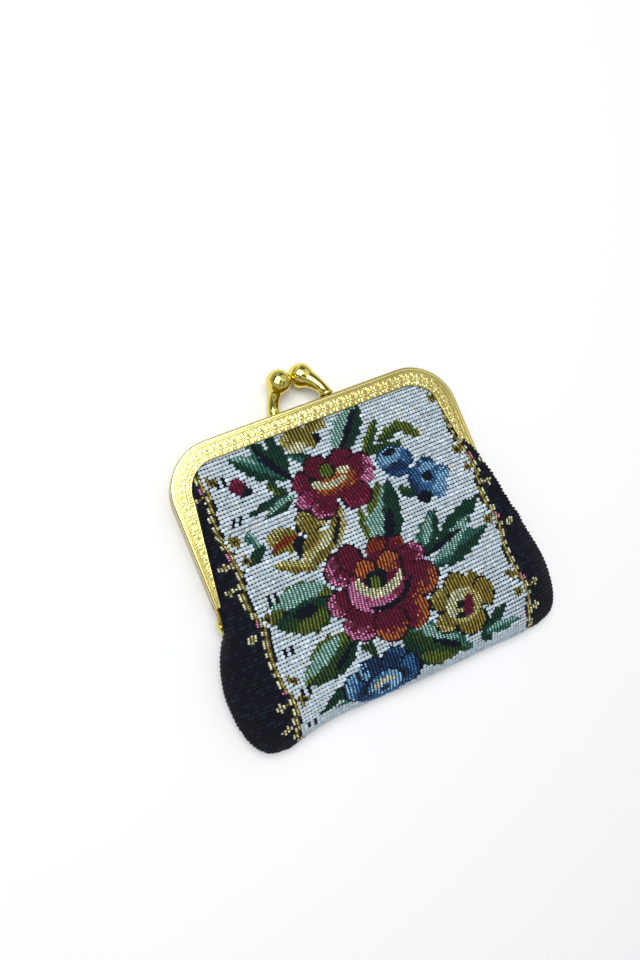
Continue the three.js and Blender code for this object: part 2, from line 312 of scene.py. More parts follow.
def dress(made: bpy.types.Object, finish: bpy.types.Material, node: str = "") -> bpy.types.Object:
    """Give a finished piece its looks and its place in the part.

    Args:
        made: The piece.
        finish: Its material.
        node: The CAD node that it replaces, if it replaces one.

    Returns:
        The same piece.
    """
    made.data.materials.clear()
    made.data.materials.append(finish)
    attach(made, "root")
    if node:
        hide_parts(node)
    return made


class NodeSheet:
    """Short ways to lay shader nodes in a tree."""

    def __init__(self, tree: bpy.types.NodeTree) -> None:
        """Hold the tree that nodes are added to."""
        self.tree = tree

    def add(self, kind: str, **values: object) -> bpy.types.Node:
        """Add a node of a kind, with the values that set takes."""
        return self.set(self.tree.nodes.new(kind), **values)

    def set(self, node: bpy.types.Node, **values: object) -> bpy.types.Node:
        """Set a node's own options by name, and its sockets by their names with _ for spaces.

        Args:
            node: The node.
            **values: Values of its options and sockets, or sockets to link.

        Returns:
            The same node.
        """
        for name, value in values.items():
            if hasattr(node, name):
                setattr(node, name, value)
            else:
                self.feed(node.inputs[name.replace("_", " ")], value)
        return node

    def feed(self, socket: bpy.types.NodeSocket, value: object) -> None:
        """Link a socket to another socket, or set its own value.

        Args:
            socket: The socket that is fed.
            value: Another node's socket, or a plain value.
        """
        if isinstance(value, bpy.types.NodeSocket):
            self.tree.links.new(value, socket)
        else:
            socket.default_value = value

    def maths(self, operation: str, a: object, b: object = 0.0, clamp: bool = False) -> bpy.types.NodeSocket:
        """Work out one sum of two values.

        Args:
            operation: Blender's name for the sum.
            a: First value or socket.
            b: Second value or socket.
            clamp: Whether the result is held between 0 and 1.

        Returns:
            The socket with the result.
        """
        node = self.add("ShaderNodeMath", operation=operation, use_clamp=clamp)
        self.feed(node.inputs[0], a)
        self.feed(node.inputs[1], b)
        return node.outputs[0]

    def mix(self, share: object, a: object, b: object, blend: str = "MIX") -> bpy.types.NodeSocket:
        """Mix two colours.

        Args:
            share: How much of the second colour shows.
            a: First colour or socket.
            b: Second colour or socket.
            blend: Blender's name for the way of mixing.

        Returns:
            The socket with the mixed colour.
        """
        node = self.add("ShaderNodeMix", data_type="RGBA", blend_type=blend)
        self.feed(node.inputs[0], share)
        self.feed(node.inputs[6], a)
        self.feed(node.inputs[7], b)
        return node.outputs[2]

    def spread(
        self, value: object, low: float, high: float, to_low: object, to_high: float
    ) -> bpy.types.NodeSocket:
        """Map a range of values onto another, held at its ends.

        Args:
            value: The value or socket that is mapped.
            low: Start of its range.
            high: End of its range.
            to_low: What the start becomes.
            to_high: What the end becomes.

        Returns:
            The socket with the result.
        """
        node = self.add("ShaderNodeMapRange")
        for socket, number in zip(node.inputs, (value, low, high, to_low, to_high)):
            self.feed(socket, number)
        return node.outputs[0]


class Effects:
    """Shader node groups for the finishes, each built once, that turn a place into a mask and a height."""

    @staticmethod
    def group(name: str, scales: dict) -> tuple:
        """Start a node group.

        Args:
            name: Name of the group.
            scales: Names of its number sockets, with their default values.

        Returns:
            The sheet to lay nodes on, the sockets that the group is given and those that it puts out.
        """
        tree = bpy.data.node_groups.new(name, "ShaderNodeTree")
        tree.interface.new_socket(name="Vector", in_out="INPUT", socket_type="NodeSocketVector")
        for socket, value in scales.items():
            new = tree.interface.new_socket(name=socket, in_out="INPUT", socket_type="NodeSocketFloat")
            new.default_value = value
        for socket in ("Mask", "Height"):
            tree.interface.new_socket(name=socket, in_out="OUTPUT", socket_type="NodeSocketFloat")
        sheet = NodeSheet(tree)
        return sheet, sheet.add("NodeGroupInput").outputs, sheet.add("NodeGroupOutput").inputs

    @staticmethod
    @cache
    def handling() -> bpy.types.NodeTree:
        """Smears and fine scratches from handling.

        Returns:
            The node group.
        """
        sheet, given, out = Effects.group("handling", {"Smear Scale": 90.0, "Scratch Scale": 700.0})
        place, fine = given["Vector"], given["Scratch Scale"]
        smear = sheet.add("ShaderNodeTexNoise", Vector=place, Scale=given["Smear Scale"], Detail=6.0)
        streak = sheet.add("ShaderNodeMapping", Vector=place, Scale=(0.12, 1, 1), Rotation=(0, 0, 0.6))
        line = sheet.add("ShaderNodeTexNoise", Vector=streak.outputs[0], Scale=fine, Detail=3.0)
        scratch = sheet.spread(line.outputs[0], 0.62, 0.72, 0.0, 1.0)
        mask = sheet.maths("ADD", sheet.spread(smear.outputs[0], 0.35, 0.75, 0.0, 0.8), scratch, True)
        sheet.feed(out["Mask"], mask)
        sheet.feed(out["Height"], sheet.maths("SUBTRACT", 1.0, scratch))
        return sheet.tree

    @staticmethod
    @cache
    def fibre() -> bpy.types.NodeTree:
        """Fine twist and fuzz of spun yarn.

        Returns:
            The node group.
        """
        sheet, given, out = Effects.group("fibre", {"Twist Scale": 3000.0, "Fuzz Scale": 5200.0})
        place, coarse = given["Vector"], given["Twist Scale"]
        twist = sheet.add("ShaderNodeTexWave", Vector=place, Scale=coarse, Distortion=2.5, Detail=2.0)
        twist.bands_direction = "DIAGONAL"
        fuzz = sheet.add("ShaderNodeTexNoise", Vector=place, Scale=given["Fuzz Scale"], Detail=4.0).outputs[0]
        sheet.feed(out["Mask"], fuzz)
        sheet.feed(out["Height"], sheet.maths("ADD", sheet.maths("MULTIPLY", twist.outputs[1], 0.6), fuzz))
        return sheet.tree


@dataclass(frozen=True)
class Finish:
    """A named material of the purse, built from nodes."""

    name: str

    def start(self) -> tuple:
        """Make the empty material.

        Returns:
            The material, its sheet of nodes and its Principled shader.
        """
        material = bpy.data.materials.new(self.name)
        material.use_nodes = True
        sheet = NodeSheet(material.node_tree)
        return material, sheet, material.node_tree.nodes["Principled BSDF"]


@dataclass(frozen=True)
class GoldPlate(Finish):
    """Bright gold plate, browner where polish stays in the hollows, darker and rougher where handled, with
    painted shade on the channel's side walls.
    """

    bright: tuple = (219, 208, 136)
    deep: tuple = (150, 120, 42)
    roughness: float = 0.17
    rubbed: float = 0.1
    hollow: float = 0.0
    # Share of painted shade that darkens the channel's side walls towards the deep colour.
    painted_side_shade: float = 0.0
    middle: float = 4.35
    side_shade_reach: tuple = (3.3, 4.1)

    def build(self) -> bpy.types.Material:
        """Lay the nodes of the plate.

        Returns:
            The material.
        """
        material, sheet, shader = self.start()
        place = sheet.add("ShaderNodeTexCoord").outputs["Object"]
        worn = sheet.add("ShaderNodeGroup", node_tree=Effects.handling(), Vector=place)
        bright, deep = ((*linear(c), 1.0) for c in (self.bright, self.deep))
        shade = sheet.spread(worn.outputs["Mask"], 0.0, 1.0, 0.0, 0.35)
        if self.hollow:
            depth = sheet.add("ShaderNodeAttribute", attribute_name="relief_depth").outputs["Fac"]
            shade = sheet.maths("ADD", shade, sheet.maths("MULTIPLY", depth, self.hollow), True)
        # Painted shade: the side walls, away from the faces and near the parting plane's height, are mixed
        # towards the deep colour.
        if self.painted_side_shade:
            height = sheet.add("ShaderNodeSeparateXYZ", Vector=place).outputs["Z"]
            off = sheet.maths("ABSOLUTE", sheet.maths("SUBTRACT", height, self.middle * METRES))
            side = sheet.spread(off, *(reach * METRES for reach in self.side_shade_reach), self.painted_side_shade, 0.0)
            shade = sheet.maths("ADD", shade, side, True)
        colour = sheet.mix(shade, bright, deep)
        rough = sheet.spread(worn.outputs["Mask"], 0.0, 1.0, self.roughness, self.roughness + self.rubbed)
        bump = sheet.add("ShaderNodeBump", Strength=0.08, Distance=0.00004, Height=worn.outputs["Height"])
        sheet.set(shader, Base_Color=colour, Roughness=rough, Normal=bump.outputs[0], Metallic=1.0)
        return material


@dataclass(frozen=True)
class SpunYarn(Finish):
    """Matt spun yarn that takes its dyed colour from the piece's own attribute."""

    attribute: str = "yarn_colour"
    bump: float = 0.5

    def build(self) -> bpy.types.Material:
        """Lay the nodes of the yarn.

        Returns:
            The material.
        """
        material, sheet, shader = self.start()
        place = sheet.add("ShaderNodeTexCoord").outputs["Object"]
        fibre = sheet.add("ShaderNodeGroup", node_tree=Effects.fibre(), Vector=place)
        dyed = sheet.add("ShaderNodeAttribute", attribute_name=self.attribute).outputs["Color"]
        tone = sheet.spread(fibre.outputs["Mask"], 0.3, 0.7, 0.78, 1.12)
        grey = sheet.add("ShaderNodeCombineColor", Red=tone, Green=tone, Blue=tone)
        colour = sheet.mix(1.0, dyed, grey.outputs[0], "MULTIPLY")
        rough = sheet.spread(fibre.outputs["Mask"], 0.3, 0.7, 0.95, 0.72)
        height = fibre.outputs["Height"]
        bump = sheet.add("ShaderNodeBump", Strength=self.bump, Distance=0.00006, Height=height)
        sheet.set(shader, Base_Color=colour, Roughness=rough, Normal=bump.outputs[0])
        sheet.set(shader, Sheen_Weight=0.03, Sheen_Roughness=0.5, Specular_IOR_Level=0.15)
        return material


@dataclass
class FrameSizes:
    """Sizes that the frame's pieces share, in millimetres, as in the part's source."""

    width: float = 85.0
    corner: float = 13.6
    arm: float = 41.0
    half_depth: float = 4.2
    parting: float = 0.3
    sheet: float = 0.6
    rim: float = 0.55
    band: float = 5.4
    band_end: float = 1.4
    taper_from: float = 14.0
    inner_leg: float = 4.2
    inner_leg_end: float = 1.3
    pivot_drop: float = 5.0
    ear_root: float = 1.6
    clearance: float = 0.3

    @property
    def depth(self) -> float:
        """Depth of both halves together."""
        return 2 * self.half_depth + self.parting

    @property
    def middle(self) -> float:
        """Height of the parting plane."""
        return self.depth / 2

    @property
    def pivot_y(self) -> float:
        """Height of the hinge's axis below the top edge."""
        return -(self.arm + self.pivot_drop)

    def leg(self, y: np.ndarray, full: float, end: float) -> np.ndarray:
        """Width of a leg at a depth below the top edge: full over the top, then tapering along the arm."""
        along = np.clip((-np.asarray(y, float) - self.taper_from) / (self.arm - self.taper_from), 0, 1)
        return full + (end - full) * along

    def inside_legs(self, x: np.ndarray, y: np.ndarray) -> np.ndarray:
        """How far a place lies inside the cleared edge of the wide leg, negative under the leg.

        Args:
            x: Places across the purse.
            y: Depths below the frame's top edge, as negative heights.

        Returns:
            The distances, more than 0 inside the frame's opening.
        """
        leg = self.leg(y, self.band, self.band_end) + self.clearance
        right, up = np.abs(x) - (self.width / 2 - self.corner), y + self.corner
        rounded = self.corner - leg - np.hypot(right, up)
        straight = np.minimum(self.width / 2 - leg - np.abs(x), -self.band - self.clearance - y)
        return np.where((right > 0) & (up > 0), rounded, straight)

    def edge_at(self, along: np.ndarray) -> tuple:
        """Places on the frame's outer edge.

        Args:
            along: Lengths from the left arm's end over the top to the right arm's end.

        Returns:
            x, y and the outward direction's x and y, each as an array.
        """
        straight = self.arm - self.corner
        bend = self.corner * math.pi / 2
        over = self.width - 2 * self.corner
        half = straight + bend + over / 2
        s = np.minimum(along, 2 * half - along)
        angle = math.pi - np.clip((s - straight) / bend, 0, 1) * math.pi / 2
        x = -self.width / 2 + self.corner * (1 + np.cos(angle)) + np.maximum(s - straight - bend, 0)
        y = self.corner * (np.sin(angle) - 1) - np.maximum(straight - s, 0)
        flip = np.where(along > half, -1.0, 1.0)
        return x * flip, y, np.cos(angle) * flip, np.sin(angle)

    @property
    def edge_length(self) -> float:
        """Length of the outer edge from arm end to arm end."""
        return 2 * (self.arm - self.corner) + self.corner * math.pi + self.width - 2 * self.corner


@dataclass
class FrameHalf:
    """One half of the sprung frame: a bent channel with a rim bead, an embossed band and two pivot ears."""

    half: Half
    sizes: FrameSizes
    groove_inset: float = 1.15
    groove_width: float = 0.34
    groove_depth: float = 0.3
    relief: float = 0.075
    daisy_pitch: float = 3.9
    daisy_radius: float = 1.85
    rivet_hole: float = 1.2
    bed_drop: float = 0.04
    soft_edge: float = 0.12
    ear_waist: float = 1.9
    ear_margin: float = 1.3

    def section(self, y: float) -> np.ndarray:
        """The channel's section at a depth, as rows of inset from the edge and height off the middle.

        Args:
            y: Height of the section, 0 at the top edge and less below.

        Returns:
            The section's corners in order.
        """
        s = self.sizes
        front = float(s.leg(y, s.band, s.band_end))
        inner = float(s.leg(y, s.inner_leg, s.inner_leg_end))
        groove = min(self.groove_inset, front - 2 * self.groove_width)
        turns = np.linspace(0, math.pi / 2, 9)
        bead = [(s.rim * (1 - math.cos(a)), s.half_depth - s.rim * (1 - math.sin(a))) for a in turns]
        bed = s.half_depth - self.relief - self.bed_drop
        w = self.groove_width / 2
        rows = [
            (0, 0),
            *bead,
            (groove - w, s.half_depth - 0.03),
            (groove - w / 3, s.half_depth - self.groove_depth),
            (groove + w / 3, s.half_depth - self.groove_depth),
            (groove + w, bed),
            (front - self.soft_edge, bed),
            (front, bed - self.soft_edge),
            (front, s.half_depth - s.sheet),
            (s.sheet, s.half_depth - s.sheet),
            (s.sheet, s.sheet),
            (inner, s.sheet),
            (inner, 0),
        ]
        return np.array(rows, float)

    def across(self, along: np.ndarray, inset: np.ndarray, height: np.ndarray) -> np.ndarray:
        """Points at lengths along the edge, at insets from it and at heights off the parting plane.

        Args:
            along: Lengths along the outer edge.
            inset: Distances in from it.
            height: Heights off the parting plane.

        Returns:
            The points, whose last axis is x, y and z.
        """
        x, y, out_x, out_y = self.sizes.edge_at(along)
        side = self.half.value
        z = self.sizes.middle + side * (self.sizes.parting / 2 + height)
        return np.stack(np.broadcast_arrays(x - out_x * inset, y - out_y * inset, z), -1)

    def channel(self) -> bpy.types.Object:
        """Extrude the channel's section up one arm, round the corners and down the other arm.

        Returns:
            The channel.
        """
        s = self.sizes
        straight, bend = s.arm - s.corner, s.corner * math.pi / 2
        taper = s.arm - s.taper_from
        corner = straight + np.linspace(0, 1, 25) * bend
        left = np.concatenate([[0, taper * 0.5, taper], corner, [straight + bend + 1]])
        stops = np.concatenate([left, (s.edge_length - left)[::-1]])
        rings = []
        for stop in stops:
            _, y, _, _ = s.edge_at(np.array([stop]))
            rows = self.section(float(y[0]))
            rings.append(self.across(np.full(len(rows), stop), rows[:, 0], rows[:, 1]))
        return extruded("channel", rings, 35)

    def daisies(self, along: np.ndarray, inset: np.ndarray, width: np.ndarray) -> np.ndarray:
        """Height of the embossing from 0 to 1.

        Args:
            along: Lengths along the band.
            inset: Distances from the outer edge.
            width: The band's width at each place.

        Returns:
            The share of the relief's height at each place.
        """
        line = (self.groove_inset + self.sizes.band) / 2 + 0.25
        turn = np.round(along / self.daisy_pitch)
        du, dv = along - turn * self.daisy_pitch, inset - line
        r, a = np.hypot(du, dv), np.arctan2(dv, du)
        lobe = np.abs(np.cos(4 * a))
        petals = ease((self.daisy_radius * (0.6 + 0.4 * lobe) - r) / 0.4) * ease((lobe - 0.3) / 0.45)
        petals = petals * ease((r - 0.4) / 0.25)
        button = ease((0.42 - r) / 0.25)
        half = along - (np.floor(along / self.daisy_pitch) + 0.5) * self.daisy_pitch
        seed = ease((0.5 - np.hypot(half, dv - 1.25)) / 0.25) * 0.8
        q, b = np.hypot(half, dv + 0.5), np.arctan2(dv + 0.5, half)
        fan = ease((np.abs(np.cos(5 * b)) - 0.45) / 0.4) * ease((q - 0.3) / 0.2) * ease((1.5 - q) / 0.3)
        fan = fan * ease((0.9 - q * np.sin(b)) / 0.4) * 0.8
        edge = 0.6 * ease((0.16 - np.abs(inset - self.groove_inset - 0.42)) / 0.12)
        lip = ease((inset - width + 0.4) / 0.16) * 0.9
        return np.maximum.reduce([petals, button, seed, fan, edge, lip])

    def band(self) -> bpy.types.Object:
        """Grow the embossed face of the wide leg from a grid.

        Returns:
            The band, with how deep each point lies as its relief_depth.
        """
        s = self.sizes
        steps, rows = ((1500, 44))
        made = primitive(bpy.ops.mesh.primitive_grid_add, x_subdivisions=steps, y_subdivisions=rows, size=1)
        places = np.array([v.co for v in made.data.vertices])
        along = (places[:, 0] + 0.5) * s.edge_length
        _, y, _, _ = s.edge_at(along)
        width = s.leg(y, s.band, s.band_end)
        start = np.minimum(self.groove_inset, width - 2 * self.groove_width) + self.groove_width / 2
        share = places[:, 1] + 0.5
        inset = start + (width - start) * share
        raised = self.daisies(along, inset, width)
        margin = ease(np.minimum(share, 1 - share) / 0.05)
        height = s.half_depth - self.relief + self.relief * raised * margin - 0.06 * (1 - margin)
        points = self.across(along, inset, height)
        made.data.vertices.foreach_set("co", in_metres(points).ravel())
        depth = made.data.attributes.new("relief_depth", "FLOAT", "POINT")
        depth.data.foreach_set("value", (1 - raised).astype(np.float32))
        if self.half is Half.FRONT:
            made.data.flip_normals()
        made.data.polygons.foreach_set("use_smooth", np.ones(len(made.data.polygons), bool))
        made.data.update()
        return made

    def ear(self, flank: Flank) -> bpy.types.Object:
        """Shape one pivot ear as a plate with a rivet hole through it.

        Args:
            flank: Side of the purse that it is on.

        Returns:
            The ear.
        """
        s = self.sizes
        radius = s.middle - s.sheet - s.clearance - self.ear_margin - s.clearance
        outer = s.width / 2 if self.half is Half.FRONT else s.width / 2 - s.sheet - s.clearance
        inner = outer - s.sheet
        side = self.half.value
        root = s.pivot_drop + s.ear_root
        rim, hole = [], []
        for a in np.linspace(0, 2 * math.pi, 48, endpoint=False):
            down, up = math.sin(a), math.cos(a)
            reach = down * radius if down > 0 else -root * min(1.0, -down * self.ear_waist)
            height = up * radius
            if reach < -radius and side * height < s.clearance:
                height = side * s.clearance
            rim.append((s.pivot_y - reach, s.middle + height))
            hole.append((s.pivot_y - down * self.rivet_hole, s.middle + up * self.rivet_hole))
        points = [(flank.value * x, y, z) for x in (inner, outer) for y, z in rim + hole]
        n = len(rim)
        faces = []
        for i in range(n):
            j = (i + 1) % n
            faces += [(i, j, n + j, n + i), (2 * n + j, 2 * n + i, 3 * n + i, 3 * n + j)]
            faces += [(j, i, 2 * n + i, 2 * n + j), (n + i, n + j, 3 * n + j, 3 * n + i)]
        made = piece_from("ear", np.array(points), faces)
        edit(made, bpy.ops.mesh.remove_doubles, threshold=MERGE)
        return face_outwards(made, 35)

    def build(self, finish: bpy.types.Material) -> bpy.types.Object:
        """Model the whole half and dress it.

        Args:
            finish: The plate's material.

        Returns:
            The finished piece.
        """
        name = self.half.name.lower()
        made = join([self.channel(), self.band(), *(self.ear(flank) for flank in Flank)], f"{name}_channel")
        return dress(made, finish, f"{name}_frame")


@dataclass
class ClaspKnob:
    """A ball on a post that bends from its half of the frame past the other half's ball."""

    half: Half
    sizes: FrameSizes
    ball: float = 3.4
    rise: float = 8.5
    spread: float = 3.45
    cross: float = 0.9
    foot_spread: float = 7.4
    foot: float = 2.05
    neck: float = 1.68
    shank: float = 0.7
    front_swell: tuple = (1.3, 0.22)
    back_swell: tuple = (1.1, 0.5)

    def route(self, t: np.ndarray) -> np.ndarray:
        """Points of the post's centreline as t goes from 0 at the foot to 1 at the ball's middle.

        Args:
            t: Shares of the way from the foot to the ball.

        Returns:
            The points, one row each.
        """
        side, s = self.half.value, self.sizes
        foot_height = s.middle + side * (s.parting + s.half_depth) / 2
        foot = np.array([side * self.foot_spread, s.clearance, foot_height])
        head = np.array([side * self.spread, self.rise, s.middle - side * self.cross])
        knee = np.array([foot[0], self.rise * 0.45, foot[2]])
        t = np.asarray(t)[:, None]
        return (1 - t) ** 2 * foot + 2 * t * (1 - t) * knee + t**2 * head

    def build(self, finish: bpy.types.Material) -> bpy.types.Object:
        """Extrude a disc from the shank's end up the post and on over the ball, and dress the knob.

        Args:
            finish: The piece's material.

        Returns:
            The finished piece.
        """
        line = self.route(np.linspace(0, 1, 401))
        run = lengths_along(line)
        total = run[-1]
        over = total - self.ball * np.cos(np.linspace(0.08, math.pi, 38))
        end = line[-1] - line[-2]
        end /= np.linalg.norm(end)
        upward = np.array([0.0, 1.0, 0.0])
        below = (-(self.sizes.sheet + 0.5), -0.28)
        rings = [self.ring(line[0] + depth * upward, upward, self.shank) for depth in below]
        for stop in np.concatenate([np.linspace(0, total - self.ball, 22), over]):
            if stop <= total:
                centre, ahead = (points_along(line, run, at) for at in (stop, stop + 0.05))
                tangent = ahead - centre if stop < total - 0.06 else end
            else:
                centre, tangent = line[-1] + end * (stop - total), end
            if stop < 0.4:
                tangent = upward
            rings.append(self.ring(centre, tangent, self.radius(stop, total)))
        name = self.half.name.lower()
        return dress(extruded(f"{name}_knob", rings, 50), finish, f"{name}_clasp_knob")

    def ring(self, centre: np.ndarray, tangent: np.ndarray, radius: float) -> np.ndarray:
        """Forty points round a centre, square to a direction.

        Args:
            centre: Middle of the ring.
            tangent: Direction that it is square to.
            radius: Radius of the ring.

        Returns:
            The points in order.
        """
        ahead = Vector(tangent).normalized()
        across = Vector((0, 0, 1)).cross(ahead).normalized()
        up = ahead.cross(across)
        turns = np.linspace(0, 2 * math.pi, 40, endpoint=False)
        return centre + radius * (np.outer(np.cos(turns), across) + np.outer(np.sin(turns), up))

    def radius(self, stop: float, total: float) -> float:
        """Radius of the knob at a length along it, flared at the foot and rounded into the ball.

        Args:
            stop: Length along the knob from the foot.
            total: Length from the foot to the ball's middle.

        Returns:
            The radius.
        """
        post = self.neck + (self.foot - self.neck) * math.exp(-((stop / 1.1) ** 2))
        thicker, start = self.front_swell if self.half is Half.FRONT else self.back_swell
        post += thicker * float(ease((stop / total - start) / (1.05 - start)))
        if stop < 0.35:
            post -= 0.25 * (1 - stop / 0.35) ** 2
        off = abs(stop - total)
        ball = math.sqrt(max(self.ball**2 - off**2, 0.0)) if off < self.ball else 0.0
        if stop > total:
            return max(ball, 0.02)
        return (post**6 + ball**6) ** (1 / 6)


@dataclass
class HingeRivet:
    """A domed rivet along x through one pair of ears."""

    flank: Flank
    sizes: FrameSizes
    shank: float = 0.9
    head: float = 2.2
    head_rise: float = 0.8
    tail: float = 1.6
    tail_rise: float = 0.5

    def build(self, finish: bpy.types.Material) -> bpy.types.Object:
        """Extrude a disc from the tail's peened end along the shank and over the domed head.

        Args:
            finish: The piece's material.

        Returns:
            The finished piece.
        """
        s = self.sizes
        tail = s.width / 2 - 2 * s.sheet - 2 * s.clearance
        head = s.width / 2 + s.clearance
        profile = [
            (self.tail * 0.6, tail - self.tail_rise),
            (self.tail * 0.9, tail - self.tail_rise * 0.8),
            (self.tail, tail - self.tail_rise * 0.35),
            (self.tail, tail),
            (self.shank, tail),
            (self.shank, head),
            (self.head, head),
        ]
        for a in np.linspace(0.12, math.pi / 2 - 0.02, 9):
            profile.append((self.head * math.cos(a), head + self.head_rise * math.sin(a)))
        turns = np.linspace(0, 2 * math.pi, 36, endpoint=False)
        turned = np.stack([0 * turns, np.cos(turns), np.sin(turns)], -1)
        name, out = self.flank.name.lower(), self.flank.value
        rings = [(out * along, s.pivot_y, s.middle) + radius * turned for radius, along in profile]
        return dress(extruded(f"{name}_rivet", rings, 40), finish, f"{name}_hinge_rivet")


@dataclass
class PouchForm:
    """The puffed form of the pouch, section by section, as in the part's source but with softer edges."""

    sizes: FrameSizes
    drop: float = 83.5
    belly_half: float = 49.5
    belly_rise: float = 5.2
    seam_line: float = 0.42
    mouth_drop: float = 1.8
    flare: float = 0.6
    front_roll: float = 9.0
    back_roll: float = 3.0
    arm_roll: float = 2.0
    rest_lift: float = 0.28
    spread_rows: tuple = (
        (0.0, 0.0), (0.055, 0.003), (0.09, 0.159), (0.15, 0.356), (0.23, 0.573), (0.33, 0.783), (0.45, 0.953),
        (0.57, 1.0), (0.68, 0.959), (0.78, 0.864), (0.86, 0.715), (0.92, 0.512), (0.965, 0.22), (1.0, -0.356),
    )
    rise_rows: tuple = (
        (0.0, 0.83), (0.055, 0.857), (0.15, 0.9), (0.33, 0.965), (0.45, 0.993), (0.57, 1.0), (0.68, 0.94),
        (0.78, 0.81), (0.86, 0.62), (0.92, 0.41), (0.965, 0.19), (1.0, 0.0),
    )
    mouth_rise_rows: tuple = (
        (0.0, 0.1), (0.04, 0.2), (0.09, 0.27), (0.15, 0.33), (0.21, 0.38), (0.35, 0.47), (0.5, 0.56),
        (0.65, 0.645), (0.77, 0.71), (0.875, 0.77), (1.0, 0.83),
    )
    square_rows: tuple = (
        (0.0, 12.0), (0.055, 9.0), (0.09, 7.0), (0.15, 5.0), (0.23, 3.9), (0.33, 3.3), (0.45, 2.9),
        (0.57, 2.7), (0.68, 2.7), (0.78, 2.8), (0.86, 3.0), (0.92, 3.2), (1.0, 3.6),
    )
    lean_rows: tuple = (
        (18.0, 0.0), (22.0, 0.6), (27.0, 3.2), (33.0, 4.2), (41.0, 4.8), (46.0, 4.8), (51.0, 3.8),
        (58.0, 1.8), (67.0, 0.0),
    )
    fold_rows: tuple = (
        (-50.0, 1.2), (-40.0, 2.0), (-32.0, 3.3), (-24.0, 3.8), (-16.0, 3.3), (-8.0, 2.7), (0.0, 2.1),
        (8.0, 1.8), (16.0, 1.5), (24.0, 1.2), (32.0, 0.7), (40.0, 0.7), (50.0, 0.3),
    )
    sway: float = 1.4
    curl: float = 8.5
    side_lean: float = -0.1
    side_roll: float = 0.4
    ripple: float = 0.22
    dent: float = 0.35
    dent_place: tuple = (-30.0, -52.0)

    @property
    def seat(self) -> float:
        """How far the cloth's edge lies under the face of a wide leg."""
        return self.sizes.sheet + self.sizes.clearance

    def down(self, y: np.ndarray) -> np.ndarray:
        """Share of the way from the hinge to the bottom fold."""
        return (self.sizes.pivot_y - y) / (self.drop + self.sizes.pivot_y)

    def half_width(self, y: np.ndarray) -> np.ndarray:
        """Half width of the cloth at a depth.

        Args:
            y: Depths below the frame's top edge, as negative heights.

        Returns:
            The half widths.
        """
        s = self.sizes
        arc = s.corner - s.sheet - s.clearance
        up = np.maximum(y + s.corner, 0)
        corner = arc - np.sqrt(np.maximum(arc**2 - up**2, 0))
        framed = s.width / 2 - s.sheet - s.clearance - corner
        framed = framed + self.flare * ease((-y - s.arm) / s.pivot_drop)
        spread = np.where(y < s.pivot_y, smooth_table(self.spread_rows, self.down(y)), 0.0)
        return framed + (self.belly_half - framed) * spread

    def rise(self, y: np.ndarray) -> np.ndarray:
        """Share of the belly's rise at a depth.

        Args:
            y: Depths below the frame's top edge, as negative heights.

        Returns:
            The shares, 1 where the belly stands highest.
        """
        start = -(self.sizes.band + self.sizes.clearance)
        framed = smooth_table(self.mouth_rise_rows, (start - y) / (start - self.sizes.pivot_y))
        framed = framed * ease((start + 1.0 - y) / 1.0)
        return np.where(y < self.sizes.pivot_y, smooth_table(self.rise_rows, self.down(y)), framed)

    def fold(self, y: np.ndarray) -> np.ndarray:
        """Share of the side height that is left before the bottom fold closes."""
        along = np.clip((self.down(y) - 0.5) / 0.5, 0, 1)
        return np.sqrt(np.maximum(1 - along**4, 0))

    def seam_height(self, y: np.ndarray) -> np.ndarray:
        """Height of the side seam, and of the fold at the bottom."""
        low = self.seam_line * self.sizes.depth
        return self.sizes.middle + (low - self.sizes.middle) * np.clip(self.down(y), 0, 1)

    def surface(self, half: Half, x: np.ndarray, y: np.ndarray) -> np.ndarray:
        """Points of the front or back of the pouch.

        Args:
            half: Front or back.
            x: Places across the purse, within its half width.
            y: Depths below the top edge.

        Returns:
            Points as an array whose last axis is x, y and z.
        """
        s = self.sizes
        wide = self.half_width(y)
        share = np.clip(np.abs(x) / wide, 0, 1)
        square = smooth_table(self.square_rows, self.down(y))
        closed = ease((s.pivot_y + 0.5 - y) / 2.5)
        round_edge = 1 - closed * (1 - np.maximum(1 - share**square, 0) ** (1 / square))
        below = ease((s.pivot_y + 3 - y) / 6)
        inside = (1 - below) * s.inside_legs(x, y) + below * (wide - np.abs(x))
        seam, fold = self.seam_height(y), self.fold(y)
        if half is Half.BACK:
            seat = self.seat * (1 - swell(inside / self.back_roll)) + self.rest_lift
            z = seam - (seam - seat) * round_edge * (1 - (1 - fold) ** 2)
            return np.stack([x, y, z], -1) + self.slump(x, y)
        crown = 0.55 * swell(inside / self.front_roll) + 0.45 * swell(inside / (4 * self.front_roll))
        z = seam + (s.depth - self.seat - seam) * round_edge * fold + self.belly_rise * self.rise(y) * crown
        beside = ease((-y - 12) / 18) * (1 - ease((self.down(y) - 0.02) / 0.25))
        near = swell(inside / 2.4) * (1 - ease((inside - 2) / 12)) * np.where(inside > 0, 1.0, 0.0)
        z = z + self.arm_roll * beside * near * np.where(x > 0, 1.0, self.side_roll)
        lean = smooth_table(self.lean_rows, -y) * ease((inside - 0.6) / 1.6) * (1 - ease((inside - 2.2) / 9))
        lean = lean * np.where(x > 0, 1.0, self.side_lean)
        ripple = self.ripple * np.sin(x / 5.2 + 0.8) * np.sin(y / 9.0 + x / 16) * ease(inside / 8)
        dent_x, dent_y = self.dent_place
        dent = self.dent * np.exp(-(((x - dent_x) / 7) ** 2) - ((y - dent_y) / 9) ** 2)
        return np.stack([x + lean, y, z + (ripple - dent) * fold], -1) + self.slump(x, y)

    def slump(self, x: np.ndarray, y: np.ndarray) -> np.ndarray:
        """How far the loose belly has sagged to the right, and its bottom fold has drawn up unevenly.

        Args:
            x: Places across the purse.
            y: Depths below the frame's top edge, as negative heights.

        Returns:
            How far each place is moved along x, y and z.
        """
        down = self.down(y)
        up = smooth_table(self.fold_rows, x) * ease((down - 0.3) / 0.7)
        return np.stack([self.sway * ease((down - 0.1) / 0.5) + 0 * x, up, 0 * x], -1)


